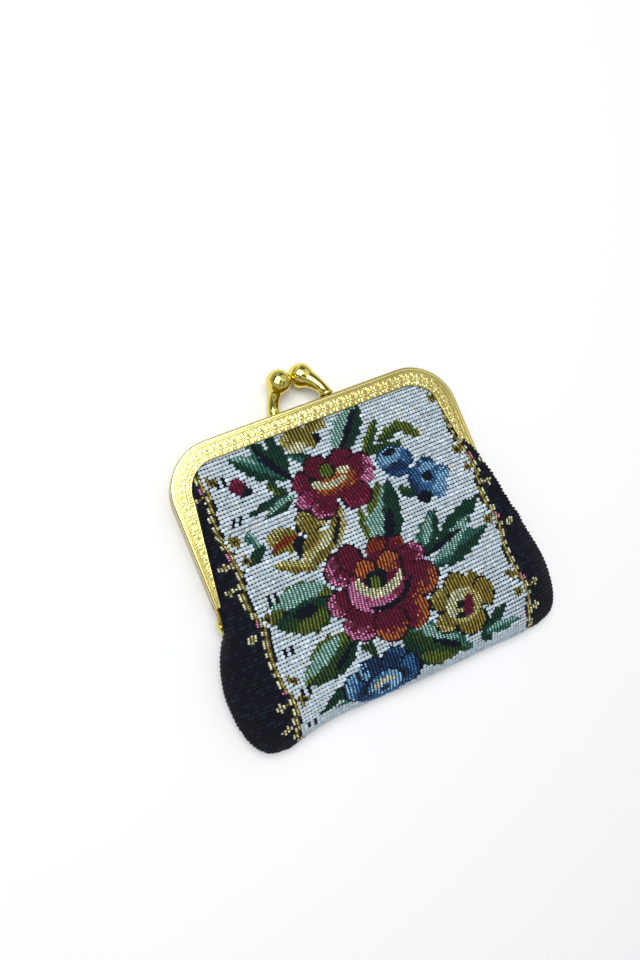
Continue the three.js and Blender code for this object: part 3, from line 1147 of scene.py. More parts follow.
class Panel:
    """One face of the pouch, laid out by lengths along the cloth so that woven rows can follow it."""

    def __init__(self, form: PouchForm, half: Half, step: float = 0.4, columns: int = 261) -> None:
        """Measure the face.

        Args:
            form: The pouch's form.
            half: Front or back.
            step: Distance between measured rows along the middle line.
            columns: Measured places across each row.
        """
        self.form, self.half, self.step, self.columns = form, half, step, columns
        bend = form.curl - form.drop
        face = np.linspace(-form.mouth_drop, bend, 900)
        y = np.concatenate([face, bend - form.curl * np.sin(np.linspace(0, math.pi / 2, 500))])
        run = lengths_along(form.surface(half, np.zeros_like(y), y))
        self.length = float(run[-1])
        self.rows = int(self.length / step) + 1
        self.row_y = np.interp(np.arange(self.rows) * step, run, y)
        self.grid = np.zeros((self.rows, columns, 3))
        self.width = np.zeros(self.rows)
        for j, depth in enumerate(self.row_y):
            self.grid[j], self.width[j] = self.row(depth)

    def row(self, y: float) -> tuple:
        """Points evenly spaced along the cloth across one row, and the row's length.

        Args:
            y: Depth of the row.

        Returns:
            The points and the length.
        """
        wide = float(self.form.half_width(np.array(y)))
        x = wide * np.sin(np.linspace(-math.pi / 2, math.pi / 2, 900))
        line = self.form.surface(self.half, x, np.full_like(x, y))
        run = lengths_along(line)
        return points_along(line, run, np.linspace(0, run[-1], self.columns)), float(run[-1])

    def at(self, u: np.ndarray, t: np.ndarray) -> np.ndarray:
        """Points at lengths u from the middle line and t from the mouth's edge along the cloth.

        Args:
            u: Lengths across the cloth from its middle line.
            t: Lengths down the cloth from the mouth's edge.

        Returns:
            The points, one row each.
        """
        r = np.clip(t / self.step, 0, self.rows - 1.001)
        j = r.astype(int)
        b = (r - j)[:, None]
        wide = self.width[j] * (1 - b[:, 0]) + self.width[j + 1] * b[:, 0]
        c = np.clip(u / wide + 0.5, 0, 0.99999) * (self.columns - 1)
        i = c.astype(int)
        a = (c - i)[:, None]
        near = self.grid[j, i] * (1 - a) + self.grid[j, i + 1] * a
        far = self.grid[j + 1, i] * (1 - a) + self.grid[j + 1, i + 1] * a
        return near * (1 - b) + far * b

    def axes(self, u: np.ndarray, t: np.ndarray, reach: float = 0.5) -> tuple:
        """Unit directions across and down the cloth, and its outward normal.

        Args:
            u: Lengths across the cloth from its middle line.
            t: Lengths down the cloth from the mouth's edge.
            reach: How far to each side the cloth is felt for.

        Returns:
            The two directions and the normal at each place.
        """
        across = self.at(u + reach, t) - self.at(u - reach, t)
        down = self.at(u, t + reach) - self.at(u, t - reach)
        across /= np.maximum(np.linalg.norm(across, axis=1, keepdims=True), 1e-9)
        out = np.cross(down, across) * self.half.value
        out /= np.maximum(np.linalg.norm(out, axis=1, keepdims=True), 1e-9)
        return across, np.cross(across, out), out


def speckle(x: np.ndarray, y: np.ndarray) -> np.ndarray:
    """Scatter values from -1 to 1, the same for the same place."""
    return 2 * np.modf(np.abs(np.sin(12.9898 * x + 78.233 * y)) * 43758.5453)[0] - 1


HALF_STITCH = 0.46
ONE_AND_A_HALF = 1.38


@dataclass(frozen=True)
class Dash:
    """A pair of upright dark dashes that sprinkles the ground."""

    x: float
    y: float
    tall: float = 2.6

    def paint(self, x: np.ndarray, y: np.ndarray, chart: np.ndarray) -> None:
        """Colour the stitches that the dashes cover.

        Args:
            x: Places across the cloth from its middle line.
            y: Places down the cloth.
            chart: Marks of the yarns at those places, changed where the motif lies.
        """
        level = np.abs(y - self.y) < self.tall / 2
        for side in (-2 * HALF_STITCH, 2 * HALF_STITCH):
            chart[level & (np.abs(x - self.x - side) < HALF_STITCH)] = Yarn.CORE.mark


@dataclass(frozen=True)
class Petal:
    """A rounded petal or bud of the chart, with a lighter edge on one side and a dark gap round it."""

    x: float
    y: float
    rx: float
    ry: float
    body: Yarn
    edge: Yarn | None = None
    lit: float = 0.0
    turn: float = 0.0
    rim: float = 0.42
    gap: Yarn | None = None
    gap_width: float = 0.42
    ragged: float = 0.12
    edge_ragged: float = 0.46

    def paint(self, x: np.ndarray, y: np.ndarray, chart: np.ndarray) -> None:
        """Colour the stitches that the petal covers.

        Args:
            x: Places across the cloth from its middle line.
            y: Places down the cloth.
            chart: Marks of the yarns at those places, changed where the motif lies.
        """
        c, s = math.cos(math.radians(self.turn)), math.sin(math.radians(self.turn))
        dx, dy = x - self.x, y - self.y
        across, up = dx * c + dy * s, dy * c - dx * s
        narrow = min(self.rx, self.ry)
        r = np.hypot(across / self.rx, up / self.ry) + self.ragged * speckle(x, y) / narrow
        if self.gap:
            chart[r < 1 + self.gap_width / narrow] = self.gap.mark
        chart[r < 1] = self.body.mark
        if self.edge:
            ahead = dx * math.cos(math.radians(self.lit)) + dy * math.sin(math.radians(self.lit))
            facing = ahead / np.maximum(np.hypot(dx, dy), 0.01)
            start = 1 - self.rim * np.clip(facing * 1.6, 0, 1) + self.edge_ragged * speckle(y, x)
            chart[(r < 1) & (r > start) & (facing > 0)] = self.edge.mark


@dataclass(frozen=True)
class Leaf:
    """A pointed leaf of the chart, with one side lighter than the other and a dark vein."""

    x0: float
    y0: float
    x1: float
    y1: float
    wide: float
    left: Yarn
    right: Yarn
    vein: Yarn | None = Yarn.CORE
    teeth: float = 0.14
    tooth_pitch: float = 3.4
    ragged: float = 0.16

    def paint(self, x: np.ndarray, y: np.ndarray, chart: np.ndarray) -> None:
        """Colour the stitches that the leaf covers.

        Args:
            x: Places across the cloth from its middle line.
            y: Places down the cloth.
            chart: Marks of the yarns at those places, changed where the motif lies.
        """
        ax, ay = self.x1 - self.x0, self.y1 - self.y0
        size = math.hypot(ax, ay)
        dx, dy = x - self.x0, y - self.y0
        along = (dx * ax + dy * ay) / size**2
        off = (dy * ax - dx * ay) / size + self.ragged * speckle(x, y)
        body = np.sin(math.pi * np.clip(along, 0, 1) ** 0.85) ** 0.75
        notch = 1 + self.teeth * np.sin(2 * math.pi * along * size / self.tooth_pitch)
        half = self.wide * body * notch
        on = (np.abs(off) < half) & (along > 0) & (along < 1)
        chart[on & (off > 0)] = self.left.mark
        chart[on & (off <= 0)] = self.right.mark
        if self.vein:
            vein = (np.abs(off) < 0.2 * half + 0.15) & (along < 0.78) & (along > 0.08)
            chart[on & vein] = self.vein.mark


@dataclass(frozen=True)
class Arc:
    """A crescent of the chart, part of a ring between two turns."""

    x: float
    y: float
    rx: float
    ry: float
    thick: float
    start: float
    end: float
    yarn: Yarn

    def paint(self, x: np.ndarray, y: np.ndarray, chart: np.ndarray) -> None:
        """Colour the stitches that the crescent covers.

        Args:
            x: Places across the cloth from its middle line.
            y: Places down the cloth.
            chart: Marks of the yarns at those places, changed where the motif lies.
        """
        dx, dy = (x - self.x) / self.rx, (y - self.y) / self.ry
        turn = (np.degrees(np.arctan2(dy, dx)) - self.start) % 360
        span = (self.end - self.start) % 360
        taper = np.sin(math.pi * np.clip(turn / span, 0, 1)) ** 0.5
        on = (turn < span) & (np.abs(np.hypot(dx, dy) - 1) * min(self.rx, self.ry) < self.thick / 2 * taper)
        chart[on] = self.yarn.mark


BOUQUET = """
leaves and stems:
leaf -12 -17.5 -25.5 -6.5 3 FOREST MINT SEA
leaf -12.5 -17.5 -19.5 -3 2.6 SEA FOREST
leaf -12 -16.5 -13 -3 1.9 FOREST FOREST -
leaf -11 -18.5 -18 -9.5 0.8 CORE CORE - 0
leaf -13.6 -23.8 -19 -15.8 1.5 OLIVE MOSS -
leaf -13.5 -20.6 -27.5 -23 1.3 FOREST FOREST -
leaf -12.5 -22.2 -22.5 -24.6 1.6 FOREST MINT -
leaf 3.2 -16.5 15 -3.5 3.6 MINT FOREST
leaf 2.6 -14 9 -5.5 1.7 MINT MINT -
leaf -4 -15.5 -10.5 -11 1.7 SEA FOREST -
leaf 9.2 -19.4 17.4 -10.2 1.5 OLIVE MOSS -
leaf 9.4 -19 22 -19.8 1.5 MOSS MOSS -
leaf 14.5 -17 25 -14.2 1.8 OLIVE MOSS -
leaf 21.5 -13.6 27.3 -20.2 1.7 OLIVE OLIVE -
leaf -28.5 -26.2 -26.6 -31.5 1.4 MINT SEA -
leaf -24.8 -31.2 -31.5 -34.6 1.3 FOREST FOREST -
leaf 14 -31 19 -34.5 1.5 MOSS FOREST -
leaf 1 -42 1.8 -30.5 1.2 OLIVE OLIVE -
leaf 2.2 -41.5 11 -28.5 3.6 MINT MINT -
leaf 3.5 -34.5 10.4 -26.8 1.4 OLIVE OLIVE -
leaf 8.2 -42.8 13 -27 2.6 FOREST FOREST -
leaf 5.5 -43 10 -34.5 1.5 CORE CORE - 0
leaf -13.5 -49.8 -31.6 -49.2 6.6 MOSS OLIVE CORE 0.07
leaf -15 -46 -30.8 -46 2.7 MINT MINT - 0.07
leaf -14.5 -50.6 -31 -51.5 3.1 MOSS FOREST - 0.07
leaf -17 -53 -27 -54.2 2.2 OLIVE OLIVE - 0.1
petal -22 -50.6 3.2 1.5 CORE
leaf -13.6 -60.4 -29.2 -67.4 5 MOSS OLIVE - 0.1
leaf -16.5 -59.4 -29.4 -66 1.9 MINT MINT - 0.1
leaf -13.4 -61.8 -22.5 -68.5 2.7 FOREST MOSS CORE 0.1
leaf 13 -50 21.8 -40 3.3 SEA FOREST -
leaf 15 -47.5 19.6 -41 1.5 MINT MINT -
leaf 19 -49 35 -41.4 3 FOREST FOREST -
leaf 15 -54 34.4 -49.8 3.2 SEA FOREST -
leaf 18 -52.2 30.4 -45.2 1.9 MINT MINT -
leaf 15.2 -52.6 22 -53 1.6 MINT SEA -
leaf 13.2 -50.8 27 -47.4 0.9 CORE CORE - 0
leaf -0.6 -65.5 17.6 -79.4 4.4 SEA MOSS CORE
leaf 2.4 -65.8 14 -73.8 1.7 MINT MINT -
leaf -1.2 -66 8.6 -80.2 3.6 MOSS FOREST -
leaf 2 -74 12.5 -79.6 2 OLIVE OLIVE -
leaf 20 -77 30.6 -71.2 2 FOREST FOREST -
leaf 22 -76.2 34 -77.4 1.8 MINT SEA -
leaf 20 -75.5 24 -80.5 1.2 FOREST FOREST -
leaf -18 -71 -28.6 -77 1.7 FOREST FOREST -
leaf -17 -75.6 -24 -77 1.2 SEA MINT -
leaf -9.6 -61.5 -10.4 -72 1 FOREST MOSS - 0
leaf -9.8 -66.8 -13 -64 0.9 MOSS MOSS - 0
gold flower under the frame:
petal -6 -8 5 2.9 OCHRE STRAW 200
petal 0.6 -6.2 3.2 2.2 OCHRE STRAW 330
petal -6.6 -10.6 3.4 1.5 CREAM
petal -2.6 -10.6 1.3 1.7 OCHRE
petal -0.6 -9.8 0.9 1.6 CORE
gold lily:
petal -20.4 -31 4.4 2.6 OCHRE STRAW 150 -14
leaf -15.4 -32.8 -25 -33.6 2 OCHRE RUST - 0.1
petal -12.2 -29.6 3.4 3.3 OCHRE STRAW 90 20 0.3 gap=CORE
petal -8.8 -29.8 1.4 2.6 STRAW
leaf -8.6 -38.6 -2.6 -29.4 2.3 OCHRE STRAW CORE 0.08
petal -16.4 -35 2.2 2.8 CORE
leaf -17.4 -39.6 -7.4 -33.6 3.3 STRAW CREAM - 0.08
leaf -16.4 -36.2 -10 -32.6 1.5 OCHRE OCHRE - 0
leaf -16 -40.4 -8 -37.4 1.3 OCHRE OCHRE - 0
petal -9.4 -41.2 3 1.5 CORE
leaf -14.8 -41.4 -25.8 -36.6 1.7 OCHRE STRAW - 0
upper rose:
petal -9 -20.6 3.4 3.4 WINE ROSE 200 gap=DEEP
petal -4.2 -17.4 3.5 3 WINE gap=DEEP
petal 3.2 -17.8 3.6 2.9 WINE gap=DEEP
petal 7.2 -21.6 3.6 3.8 WINE PINK -35 gap=DEEP
petal -9.4 -24.8 3.8 2.4 ROSE PINK 200 gap=DEEP
petal -6.6 -28 3.6 2.9 WINE PINK 225 gap=DEEP
petal 7.6 -25 2.6 1.2 PINK
petal 3 -28 4.2 3.4 WINE ROSE 250 gap=DEEP
petal -0.8 -22.6 7.4 4.6 WINE
petal -6.6 -20.8 1.3 1.4 CORE
petal -2.8 -23.4 4 2.5 AMBER RUST 270
petal 1.8 -22.8 3.4 2.6 AMBER RUST 300
arc -1.6 -20.6 5 2.4 1.9 180 330 CREAM
petal 2.4 -20.4 2 1.1 CREAM
petal -2 -19.2 2 1.9 OLIVE gap=DEEP
blue flowers:
petal 16.4 -22.8 4.2 3.2 SKY BLUE 270 gap=DUSK
petal 16.8 -26 3.4 2.2 DUSK BLUE 270
petal 16.4 -20.8 2 1 CORE
petal 20.8 -23.6 1.6 2.4 BLUE DUSK 0
petal 20.6 -31.4 2.8 4.6 BLUE DUSK 180 0 0.7
petal 24.8 -27.8 2.9 2.3 SKY DUSK 90
petal 28 -31.6 2.6 2.5 SKY BLUE 90
petal 25.4 -35 3 2.5 SKY BLUE 180
petal 20.6 -35.8 2.4 1.6 CORE
petal 24.4 -31.4 2.3 2.1 BLUE SKY 180
petal 24 -30.8 1.4 1.5 CORE
petal -16.6 -74.4 3.8 4.6 BLUE SKY 150 20 0.5 gap=CORE
petal -12.4 -70.8 3.6 2.8 DUSK SKY 200 gap=CORE
petal -5.4 -71.4 3.8 3.4 DUSK BLUE 20 gap=CORE
petal -1.8 -76 3 4.6 BLUE DUSK -20 gap=CORE
petal -9.8 -77.6 8 5.6 DUSK BLUE 270 0 0.7
petal -9.6 -76.6 5.2 3.9 SKY BLUE 160 gap=CORE
arc -9.6 -77.4 2.8 2.2 1.6 20 200 CREAM
petal -9.6 -78 1.3 1.2 DUSK
gold daisy:
petal 12.6 -62.6 3.2 2.8 OCHRE STRAW 90 20 gap=CORE
petal 18.4 -61 3.6 3.4 OCHRE gap=CORE
petal 23.6 -61.6 1.8 3 OCHRE
petal 25.4 -65.4 2.8 3.8 OCHRE gap=CORE
petal 12.2 -68.6 3.4 2.7 OCHRE STRAW 200 gap=CORE
petal 19 -71.6 4.4 3 OCHRE gap=CORE
petal 18.4 -66.4 5.4 4.4 STRAW CREAM 130 0 0.6
petal 19.6 -67 1.7 3 WINE - 0 -25
petal 17.4 -65.8 1.4 1 CORE
petal 16.4 -68.6 1.4 1 CORE
main rose:
petal -8.8 -44.8 5 4.4 WINE PINK 175 gap=DEEP
petal -6.2 -42.6 3.2 3.4 WINE gap=DEEP
petal 2.2 -43.6 3.4 3.2 RUST WINE 0 gap=DEEP
petal 7 -44.6 2.6 2.7 WINE RUST 20 gap=DEEP
petal 10.4 -48.4 3.4 3 WINE PINK 0 0 0.3 gap=DEEP
petal -12.6 -52.6 3.8 3.5 WINE PINK 200 gap=DEEP
petal -9.6 -59 5.2 4.4 WINE PINK 235 gap=DEEP
petal 9.8 -54.8 5.2 4.4 WINE AMBER 300 -12 gap=DEEP
petal 4.4 -61.8 4.4 4.6 WINE AMBER -15 0 0.6 gap=DEEP
petal -2.6 -62.4 4.6 4.4 WINE AMBER 262 0 0.5 gap=DEEP
petal -0.6 -50.8 9.2 7.2 WINE
petal -2.4 -52.2 8 6.2 ROSE PINK 230 0 0.8 gap=DEEP
petal -3.4 -47.2 2.8 2.7 AMBER RUST 270 gap=DEEP
petal 3.2 -48 3.4 3.2 AMBER WINE 300 gap=DEEP
petal -1.4 -50.4 3.4 2.4 CORE
petal 3.4 -51.2 2.4 1.5 WINE
arc -0.6 -49.8 6 4.2 2.4 160 355 CREAM
petal -2.2 -51.2 1.5 1.7 OLIVE
arc -1 -51 8.6 7 1.5 225 345 CORE
bud:
petal -24.6 -16.6 2 1.3 CORE
petal -25.9 -14.4 2.1 2.5 WINE ROSE 100
dark dashes:
dash -29.6 -11.8
dash -29.4 -23
dash -28.6 -44.6
dash -29.8 -57.6
dash -29.8 -68.6
dash -30.5 -78.2
"""


@dataclass
class RoseChart:
    """A traditional rose bouquet between two trellis borders, charted as petals and leaves."""

    repeat: float = 79.5
    left_border: float = -34.2
    right_border: float = 37.4
    bead: float = 2.6
    wave: float = 0.75
    wave_length: float = 18.7
    crosses: tuple = (4.6, 10.2, 26.4)
    florets: tuple = ((5.0, 3.4), (23.4, 3.8), (36.2, 3.0))

    def __post_init__(self) -> None:
        """Read the bouquet, from its back motifs to its front ones."""
        rows = [row for row in BOUQUET.strip().split("\n") if not row.endswith(":")]
        self.motifs = [self.motif(row) for row in rows]

    def motif(self, row: str) -> Dash | Petal | Leaf | Arc:
        """Turn a row of the bouquet into its motif.

        Args:
            row: The kind of motif, then its values in the order of its fields. A value out of that order
                follows its field's name, and a dash stands for no yarn.

        Returns:
            The motif.
        """
        kind, *words = row.split()
        values, named = [], {}
        for word in words:
            name, _, text = word.rpartition("=")
            value = Yarn[text] if text.isupper() else None if text == "-" else float(text)
            if name:
                named[name] = value
            else:
                values.append(value)
        return {"dash": Dash, "petal": Petal, "leaf": Leaf, "arc": Arc}[kind](*values, **named)

    def border(self, x: np.ndarray, y: np.ndarray, chart: np.ndarray, flank: Flank) -> None:
        """Lay the navy side and the trellis of beads, crosses and florets beside it.

        Args:
            x: Places across the cloth from its middle line.
            y: Places down the cloth.
            chart: Marks of the yarns at those places, changed in the border.
            flank: Side of the purse.
        """
        out = flank.value
        line = self.left_border if flank is Flank.LEFT else self.right_border
        line = line + self.wave * np.sin(2 * math.pi * y / self.wave_length)
        off = (x - line) * out
        step = (y / self.bead) % 1.0
        turn = np.floor(y / self.bead).astype(int)
        cells = y % (2 * self.wave_length)
        chart[off > HALF_STITCH] = Yarn.NAVY.mark
        bead = (step < 0.74) & (off > HALF_STITCH) & (off < ONE_AND_A_HALF)
        chart[bead] = np.where(turn[bead] % 7 == 2, Yarn.PINK.mark, Yarn.CREAM.mark)
        middle = np.abs(off) < HALF_STITCH
        chart[middle] = np.where(step[middle] < 0.5, Yarn.STRAW.mark, Yarn.GILT.mark)
        chart[(off < -HALF_STITCH) & (off > -1.1)] = Yarn.CORE.mark
        for height in self.crosses:
            gap = np.abs(cells - height)
            beside = np.abs(off + 2.3)
            inner, wide = beside < HALF_STITCH, beside < ONE_AND_A_HALF
            chart[(gap < 2.2) & (off < -HALF_STITCH) & (off > -ONE_AND_A_HALF)] = Yarn.PALE.mark
            chart[((gap < 0.9) & wide) | ((gap < 1.7) & inner)] = Yarn.OCHRE.mark
            chart[(gap < 0.35) & inner] = Yarn.CORE.mark
        for height, reach in self.florets:
            gap = np.abs(cells - height)
            beside = np.abs(off - reach)
            inner, wide = beside < HALF_STITCH, beside < ONE_AND_A_HALF
            chart[(gap < 0.3) & (off > 1.1) & (off < reach)] = Yarn.GILT.mark
            chart[(wide & (gap < 0.62)) | (inner & (gap < 1.35))] = Yarn.CREAM.mark
            chart[inner & (gap < 0.4)] = Yarn.OCHRE.mark

    def yarns(self, x: np.ndarray, y: np.ndarray) -> np.ndarray:
        """Which yarn shows at each place of the cloth.

        Args:
            x: Places across the cloth from its middle line.
            y: Places down the cloth, 0 at the frame's top edge and falling past the bottom fold.

        Returns:
            The yarn's mark at each place.
        """
        chart = np.full(x.shape, Yarn.PALE.mark)
        for turn in (2, 1, 0):
            for motif in self.motifs:
                motif.paint(x, y + turn * self.repeat, chart)
        for flank in Flank:
            self.border(x, y, chart, flank)
        return chart


@dataclass(frozen=True)
class Stitch:
    """One kind of stitch, as shares of the yarns' spacing along it and across it."""

    long: float
    wide: float
    shoulder: float = 0.22
    blunt: float = 0.0
    map_across: float = 1.0
    map_down: float = 0.8


STITCHES = (
    Stitch(1.3, 1.98, 0.12, 0.1, 0.72, 0.92),
    Stitch(1.5, 0.52, map_down=0.62),
    Stitch(0.82, 0.56),
    Stitch(1.15, 0.68),
)
STITCH_POINTS = (
    (-0.5, -1, 0.1), (-0.5, 1, 0.1),
    (-1, -0.5, -0.15), (-1, -0.26, 0.85), (-1, 0.26, 0.85), (-1, 0.5, -0.15),
    (1, -0.5, -0.15), (1, -0.26, 0.85), (1, 0.26, 0.85), (1, 0.5, -0.15),
    (0.5, -1, 0.1), (0.5, 1, 0.1),
)
STITCH_ENDS = (1.0, 1.0, 0.0, 0.0, 0.0, 0.0, 0.0, 0.0, 0.0, 0.0, 1.0, 1.0)
STITCH_BODY = ((3, 7, 8, 4), (2, 6, 7, 3), (4, 8, 9, 5))
BLUNT_ENDS = ((0, 3, 4, 1), (0, 2, 3), (1, 4, 5), (7, 10, 11, 8), (6, 10, 7), (8, 11, 9))
POINTED_ENDS = ((0, 2, 3), (0, 3, 4), (0, 4, 5), (6, 10, 7), (7, 10, 8), (8, 10, 9))
# Painted shade and highlight for a stitch's twelve points: darker at its sides and ends, lighter along its
# top.
FLOAT_PAINTED_SHADING = (0.98, 0.98, 0.7, 1.03, 1.03, 0.7, 0.7, 1.03, 1.03, 0.7, 0.98, 0.98)
SHORT_PAINTED_SHADING = (0.4, 0.4, 0.45, 1.1, 1.1, 0.45, 0.45, 1.1, 1.1, 0.45, 0.4, 0.4)


@dataclass
class Tapestry:
    """The pouch's cloth: a shell with real woven floats and stitches laid over it."""

    form: PouchForm
    chart: RoseChart
    column: float = 0.92
    row: float = 0.53
    float_height: float = 0.27
    stitch_height: float = 0.22
    wall: float = 1.1
    hidden: float = -0.7
    turn_y: float = -76.0
    jitter: float = 0.03
    tilts: tuple = (0.26, -0.08)
    panels: dict = field(default_factory=dict)

    def __post_init__(self) -> None:
        """Measure both faces."""
        for half in Half:
            self.panels[half] = Panel(self.form, half)

    def cloth_place(self, half: Half, u: np.ndarray, t: np.ndarray) -> tuple:
        """Where places on a face lie on the chart, running on round the bottom fold.

        Args:
            half: Front or back.
            u: Lengths across the cloth from its middle line.
            t: Lengths down the cloth from the mouth's edge.

        Returns:
            Places across and down the chart.
        """
        front = self.panels[Half.FRONT]
        start = float(np.interp(self.turn_y, front.row_y[::-1], (np.arange(front.rows) * front.step)[::-1]))
        turn = front.at(u, np.full_like(t, start))[:, 1]
        if half is Half.BACK:
            back = self.panels[Half.BACK]
            return u + back.at(0 * u, t)[:, 0], turn - (front.length - start) - (back.length - t)
        places = front.at(u, t)
        return places[:, 0], np.where(t < start, places[:, 1], turn - (t - start))

    def shell(self) -> bpy.types.Object:
        """Make the cloth itself, open at the mouth and beside the arms, folded at the bottom.

        Returns:
            The cloth, dyed but not yet dressed.
        """
        front, back = self.panels[Half.FRONT], self.panels[Half.BACK]
        pick_rows = np.unique(np.concatenate([np.arange(0, front.rows, 2), [front.rows - 1]]))
        columns = np.arange(0, front.columns, 2)
        rows_y = front.row_y[pick_rows]
        rows_y[-1] = -self.form.drop
        sheets = []
        for panel in (front, back):
            grid = np.stack([panel.row(y)[0][columns] for y in rows_y])
            grid[..., 2] -= 0.05 * panel.half.value
            sheets.append(grid)
        closed = rows_y < self.form.sizes.pivot_y - 2.2
        for end in (0, -1):
            middle = (sheets[0][closed, end] + sheets[1][closed, end]) / 2
            sheets[0][closed, end] = middle
            sheets[1][closed, end] = middle
        middle = (sheets[0][-1] + sheets[1][-1]) / 2
        sheets[0][-1], sheets[1][-1] = middle, middle
        high, wide = sheets[0].shape[:2]
        points = np.concatenate([sheets[0].reshape(-1, 3), sheets[1].reshape(-1, 3)])
        index = np.arange(high * wide).reshape(high, wide)
        a, b, c, d = index[:-1, :-1], index[1:, :-1], index[1:, 1:], index[:-1, 1:]
        over = np.stack([a, b, c, d], -1).reshape(-1, 4)
        under = np.stack([a, d, c, b], -1).reshape(-1, 4) + high * wide
        made = piece_from("pouch_cloth", points, np.concatenate([over, under]).tolist())
        edit(made, bpy.ops.mesh.remove_doubles, threshold=MERGE)
        wall = made.modifiers.new("Solidify", "SOLIDIFY")
        wall.thickness, wall.offset = self.wall * METRES, -1.0
        bpy.ops.object.modifier_apply(modifier=wall.name)
        self.dye(made, self.backing(made))
        return made

    def backing(self, made: bpy.types.Object) -> np.ndarray:
        """Colours of the shell: dark, and tinted like the coloured yarns that are tied down there.

        Args:
            made: The shell.

        Returns:
            Linear colours, one for each point.
        """
        places = np.array([v.co for v in made.data.vertices]) / METRES - (0, TOP_EDGE, 0)
        yarn = self.chart.yarns(places[:, 0], places[:, 1])
        share = np.where(np.isin(yarn, DOTTED), 0.18, 0.1)
        share[np.isin(yarn, GROUND)] = 0.0
        return linear(Yarn.NAVY.value) * 0.8 + DYES[yarn] * share[:, None]

    def dye(self, made: bpy.types.Object, colours: np.ndarray) -> None:
        """Write linear colours, one for each point, as the piece's yarn_colour attribute."""
        layer = made.data.color_attributes.new("yarn_colour", "FLOAT_COLOR", "POINT")
        layer.data.foreach_set("color", np.c_[colours, np.ones(len(colours))].astype(np.float32).ravel())

    def flat_map(self, made: bpy.types.Object, places: np.ndarray) -> None:
        """Give the weave a map of the cloth laid flat, with each stitch clear of the next.

        Args:
            made: The woven piece.
            places: Lengths across and down the flat cloth, one row for each point.
        """
        low, high = places.min(0), places.max(0)
        flat = 0.01 + 0.98 * (places - low) / (high - low)
        corners = np.empty(len(made.data.loops), np.int32)
        made.data.loops.foreach_get("vertex_index", corners)
        layer = made.data.uv_layers.new(name="OFBake")
        layer.data.foreach_set("uv", flat[corners].astype(np.float32).ravel())

    def lay_out(self, half: Half) -> tuple:
        """Choose every float and stitch of one face.

        Args:
            half: Front or back.

        Returns:
            Lengths across and down the cloth, the yarn, and whether it is a level float, as arrays.
        """
        panel = self.panels[half]
        reach = int(panel.width.max() / 2 / self.column) + 1
        k = np.arange(-reach, reach + 1)
        pairs = round(panel.length / (2 * self.row))
        kk, jj = (a.ravel() for a in np.meshgrid(k, np.arange(pairs)))
        u, t = kk * self.column, (jj + 0.5) * panel.length / pairs
        shown = self.visible(panel, u, t)
        u, t, kk = u[shown], t[shown], kk[shown]
        level = np.isin(self.chart.yarns(*self.cloth_place(half, u, t)), GROUND)
        floats = self.chart.yarns(*self.cloth_place(half, u[level], t[level]))
        shift = np.where(kk[~level] % 2 == 0, 0.25, -0.25) * self.row
        su = np.repeat(u[~level], 2)
        st = np.repeat(t[~level] + shift, 2) + np.tile([-0.5, 0.5], (~level).sum()) * self.row
        short = self.chart.yarns(*self.cloth_place(half, su, st))
        return (
            np.concatenate([u[level], su]),
            np.concatenate([t[level], st]),
            np.concatenate([floats, short]),
            np.concatenate([np.ones(level.sum(), bool), np.zeros(len(su), bool)]),
        )

    def visible(self, panel: Panel, u: np.ndarray, t: np.ndarray) -> np.ndarray:
        """Which places of a face lie on the cloth and clear of the frame's legs.

        Args:
            panel: The face.
            u: Lengths across the cloth from its middle line.
            t: Lengths down the cloth from the mouth's edge.

        Returns:
            Whether each place shows.
        """
        on = np.abs(u) < np.interp(t / panel.step, np.arange(panel.rows), panel.width) / 2 - 0.2
        places = panel.at(u, t)
        free = self.form.sizes.inside_legs(places[:, 0], places[:, 1]) > self.hidden
        if panel.half is Half.FRONT:
            free |= places[:, 2] > self.form.sizes.depth + 0.1
        return on & (free | (places[:, 1] < self.form.sizes.pivot_y + 0.6))

    def weave(self, half: Half) -> bpy.types.Object:
        """Lay one face's floats and stitches, each a small rounded length of yarn.

        Args:
            half: Front or back.

        Returns:
            The woven piece, coloured stitch by stitch.
        """
        panel = self.panels[half]
        u, t, yarn, level = self.lay_out(half)
        draw = np.random.default_rng(7 + half.value)
        count = len(u)
        u = u + draw.normal(0, self.jitter, count)
        t = t + draw.normal(0, self.jitter, count)
        middle = panel.at(u, t)
        across, down, out = panel.axes(u, t)
        kind = np.select([level, np.isin(yarn, LONG_STITCH), np.isin(yarn, DOTTED)], [0, 1, 2], 3)
        shares = np.array([astuple(stitch) for stitch in STITCHES])[kind].T[..., None]
        long, wide, shoulder, blunt, map_across, map_down = shares
        along = np.where(level[:, None], across, down)
        tilt = draw.normal(0, 0.05, count)[:, None] + np.where(level[:, None], *self.tilts)
        along = along + np.cross(out, along) * tilt
        along /= np.linalg.norm(along, axis=1, keepdims=True)
        side = np.cross(out, along)
        high = np.where(level, self.float_height, self.stitch_height) * draw.uniform(0.85, 1.12, count)
        high = np.where(yarn == Yarn.NAVY.mark, high * 0.8, high)
        shape, ends = np.array(STITCH_POINTS), np.array(STITCH_ENDS)
        long = long * np.where(level, self.column, self.row)[:, None]
        wide = wide * np.where(level, self.row, self.column)[:, None]
        run = shape[:, 0] * (ends + (1 - ends) * shoulder) * long
        girth = shape[:, 1] * (ends * blunt + (1 - ends)) * wide
        lift = (shape[:, 2] + ends * 0.62 * level[:, None]) * high[:, None]
        off = along[:, None] * run[..., None] + side[:, None] * girth[..., None]
        points = middle[:, None] + off + out[:, None] * lift[..., None]
        faces = []
        for index, flat in enumerate(level.tolist()):
            corners = STITCH_BODY + (BLUNT_ENDS if flat else POINTED_ENDS)
            faces += [tuple(12 * index + c for c in face) for face in corners]
        made = piece_from(f"{half.name.lower()}_weave", points.reshape(-1, 3), faces)
        self.dye(made, self.stitch_colours(yarn, level, draw).reshape(-1, 3))
        off_u = (off * across[:, None]).sum(-1) * map_across
        off_t = (off * down[:, None]).sum(-1) * map_down
        self.flat_map(made, np.stack([u[:, None] + off_u, t[:, None] + off_t], -1).reshape(-1, 2))
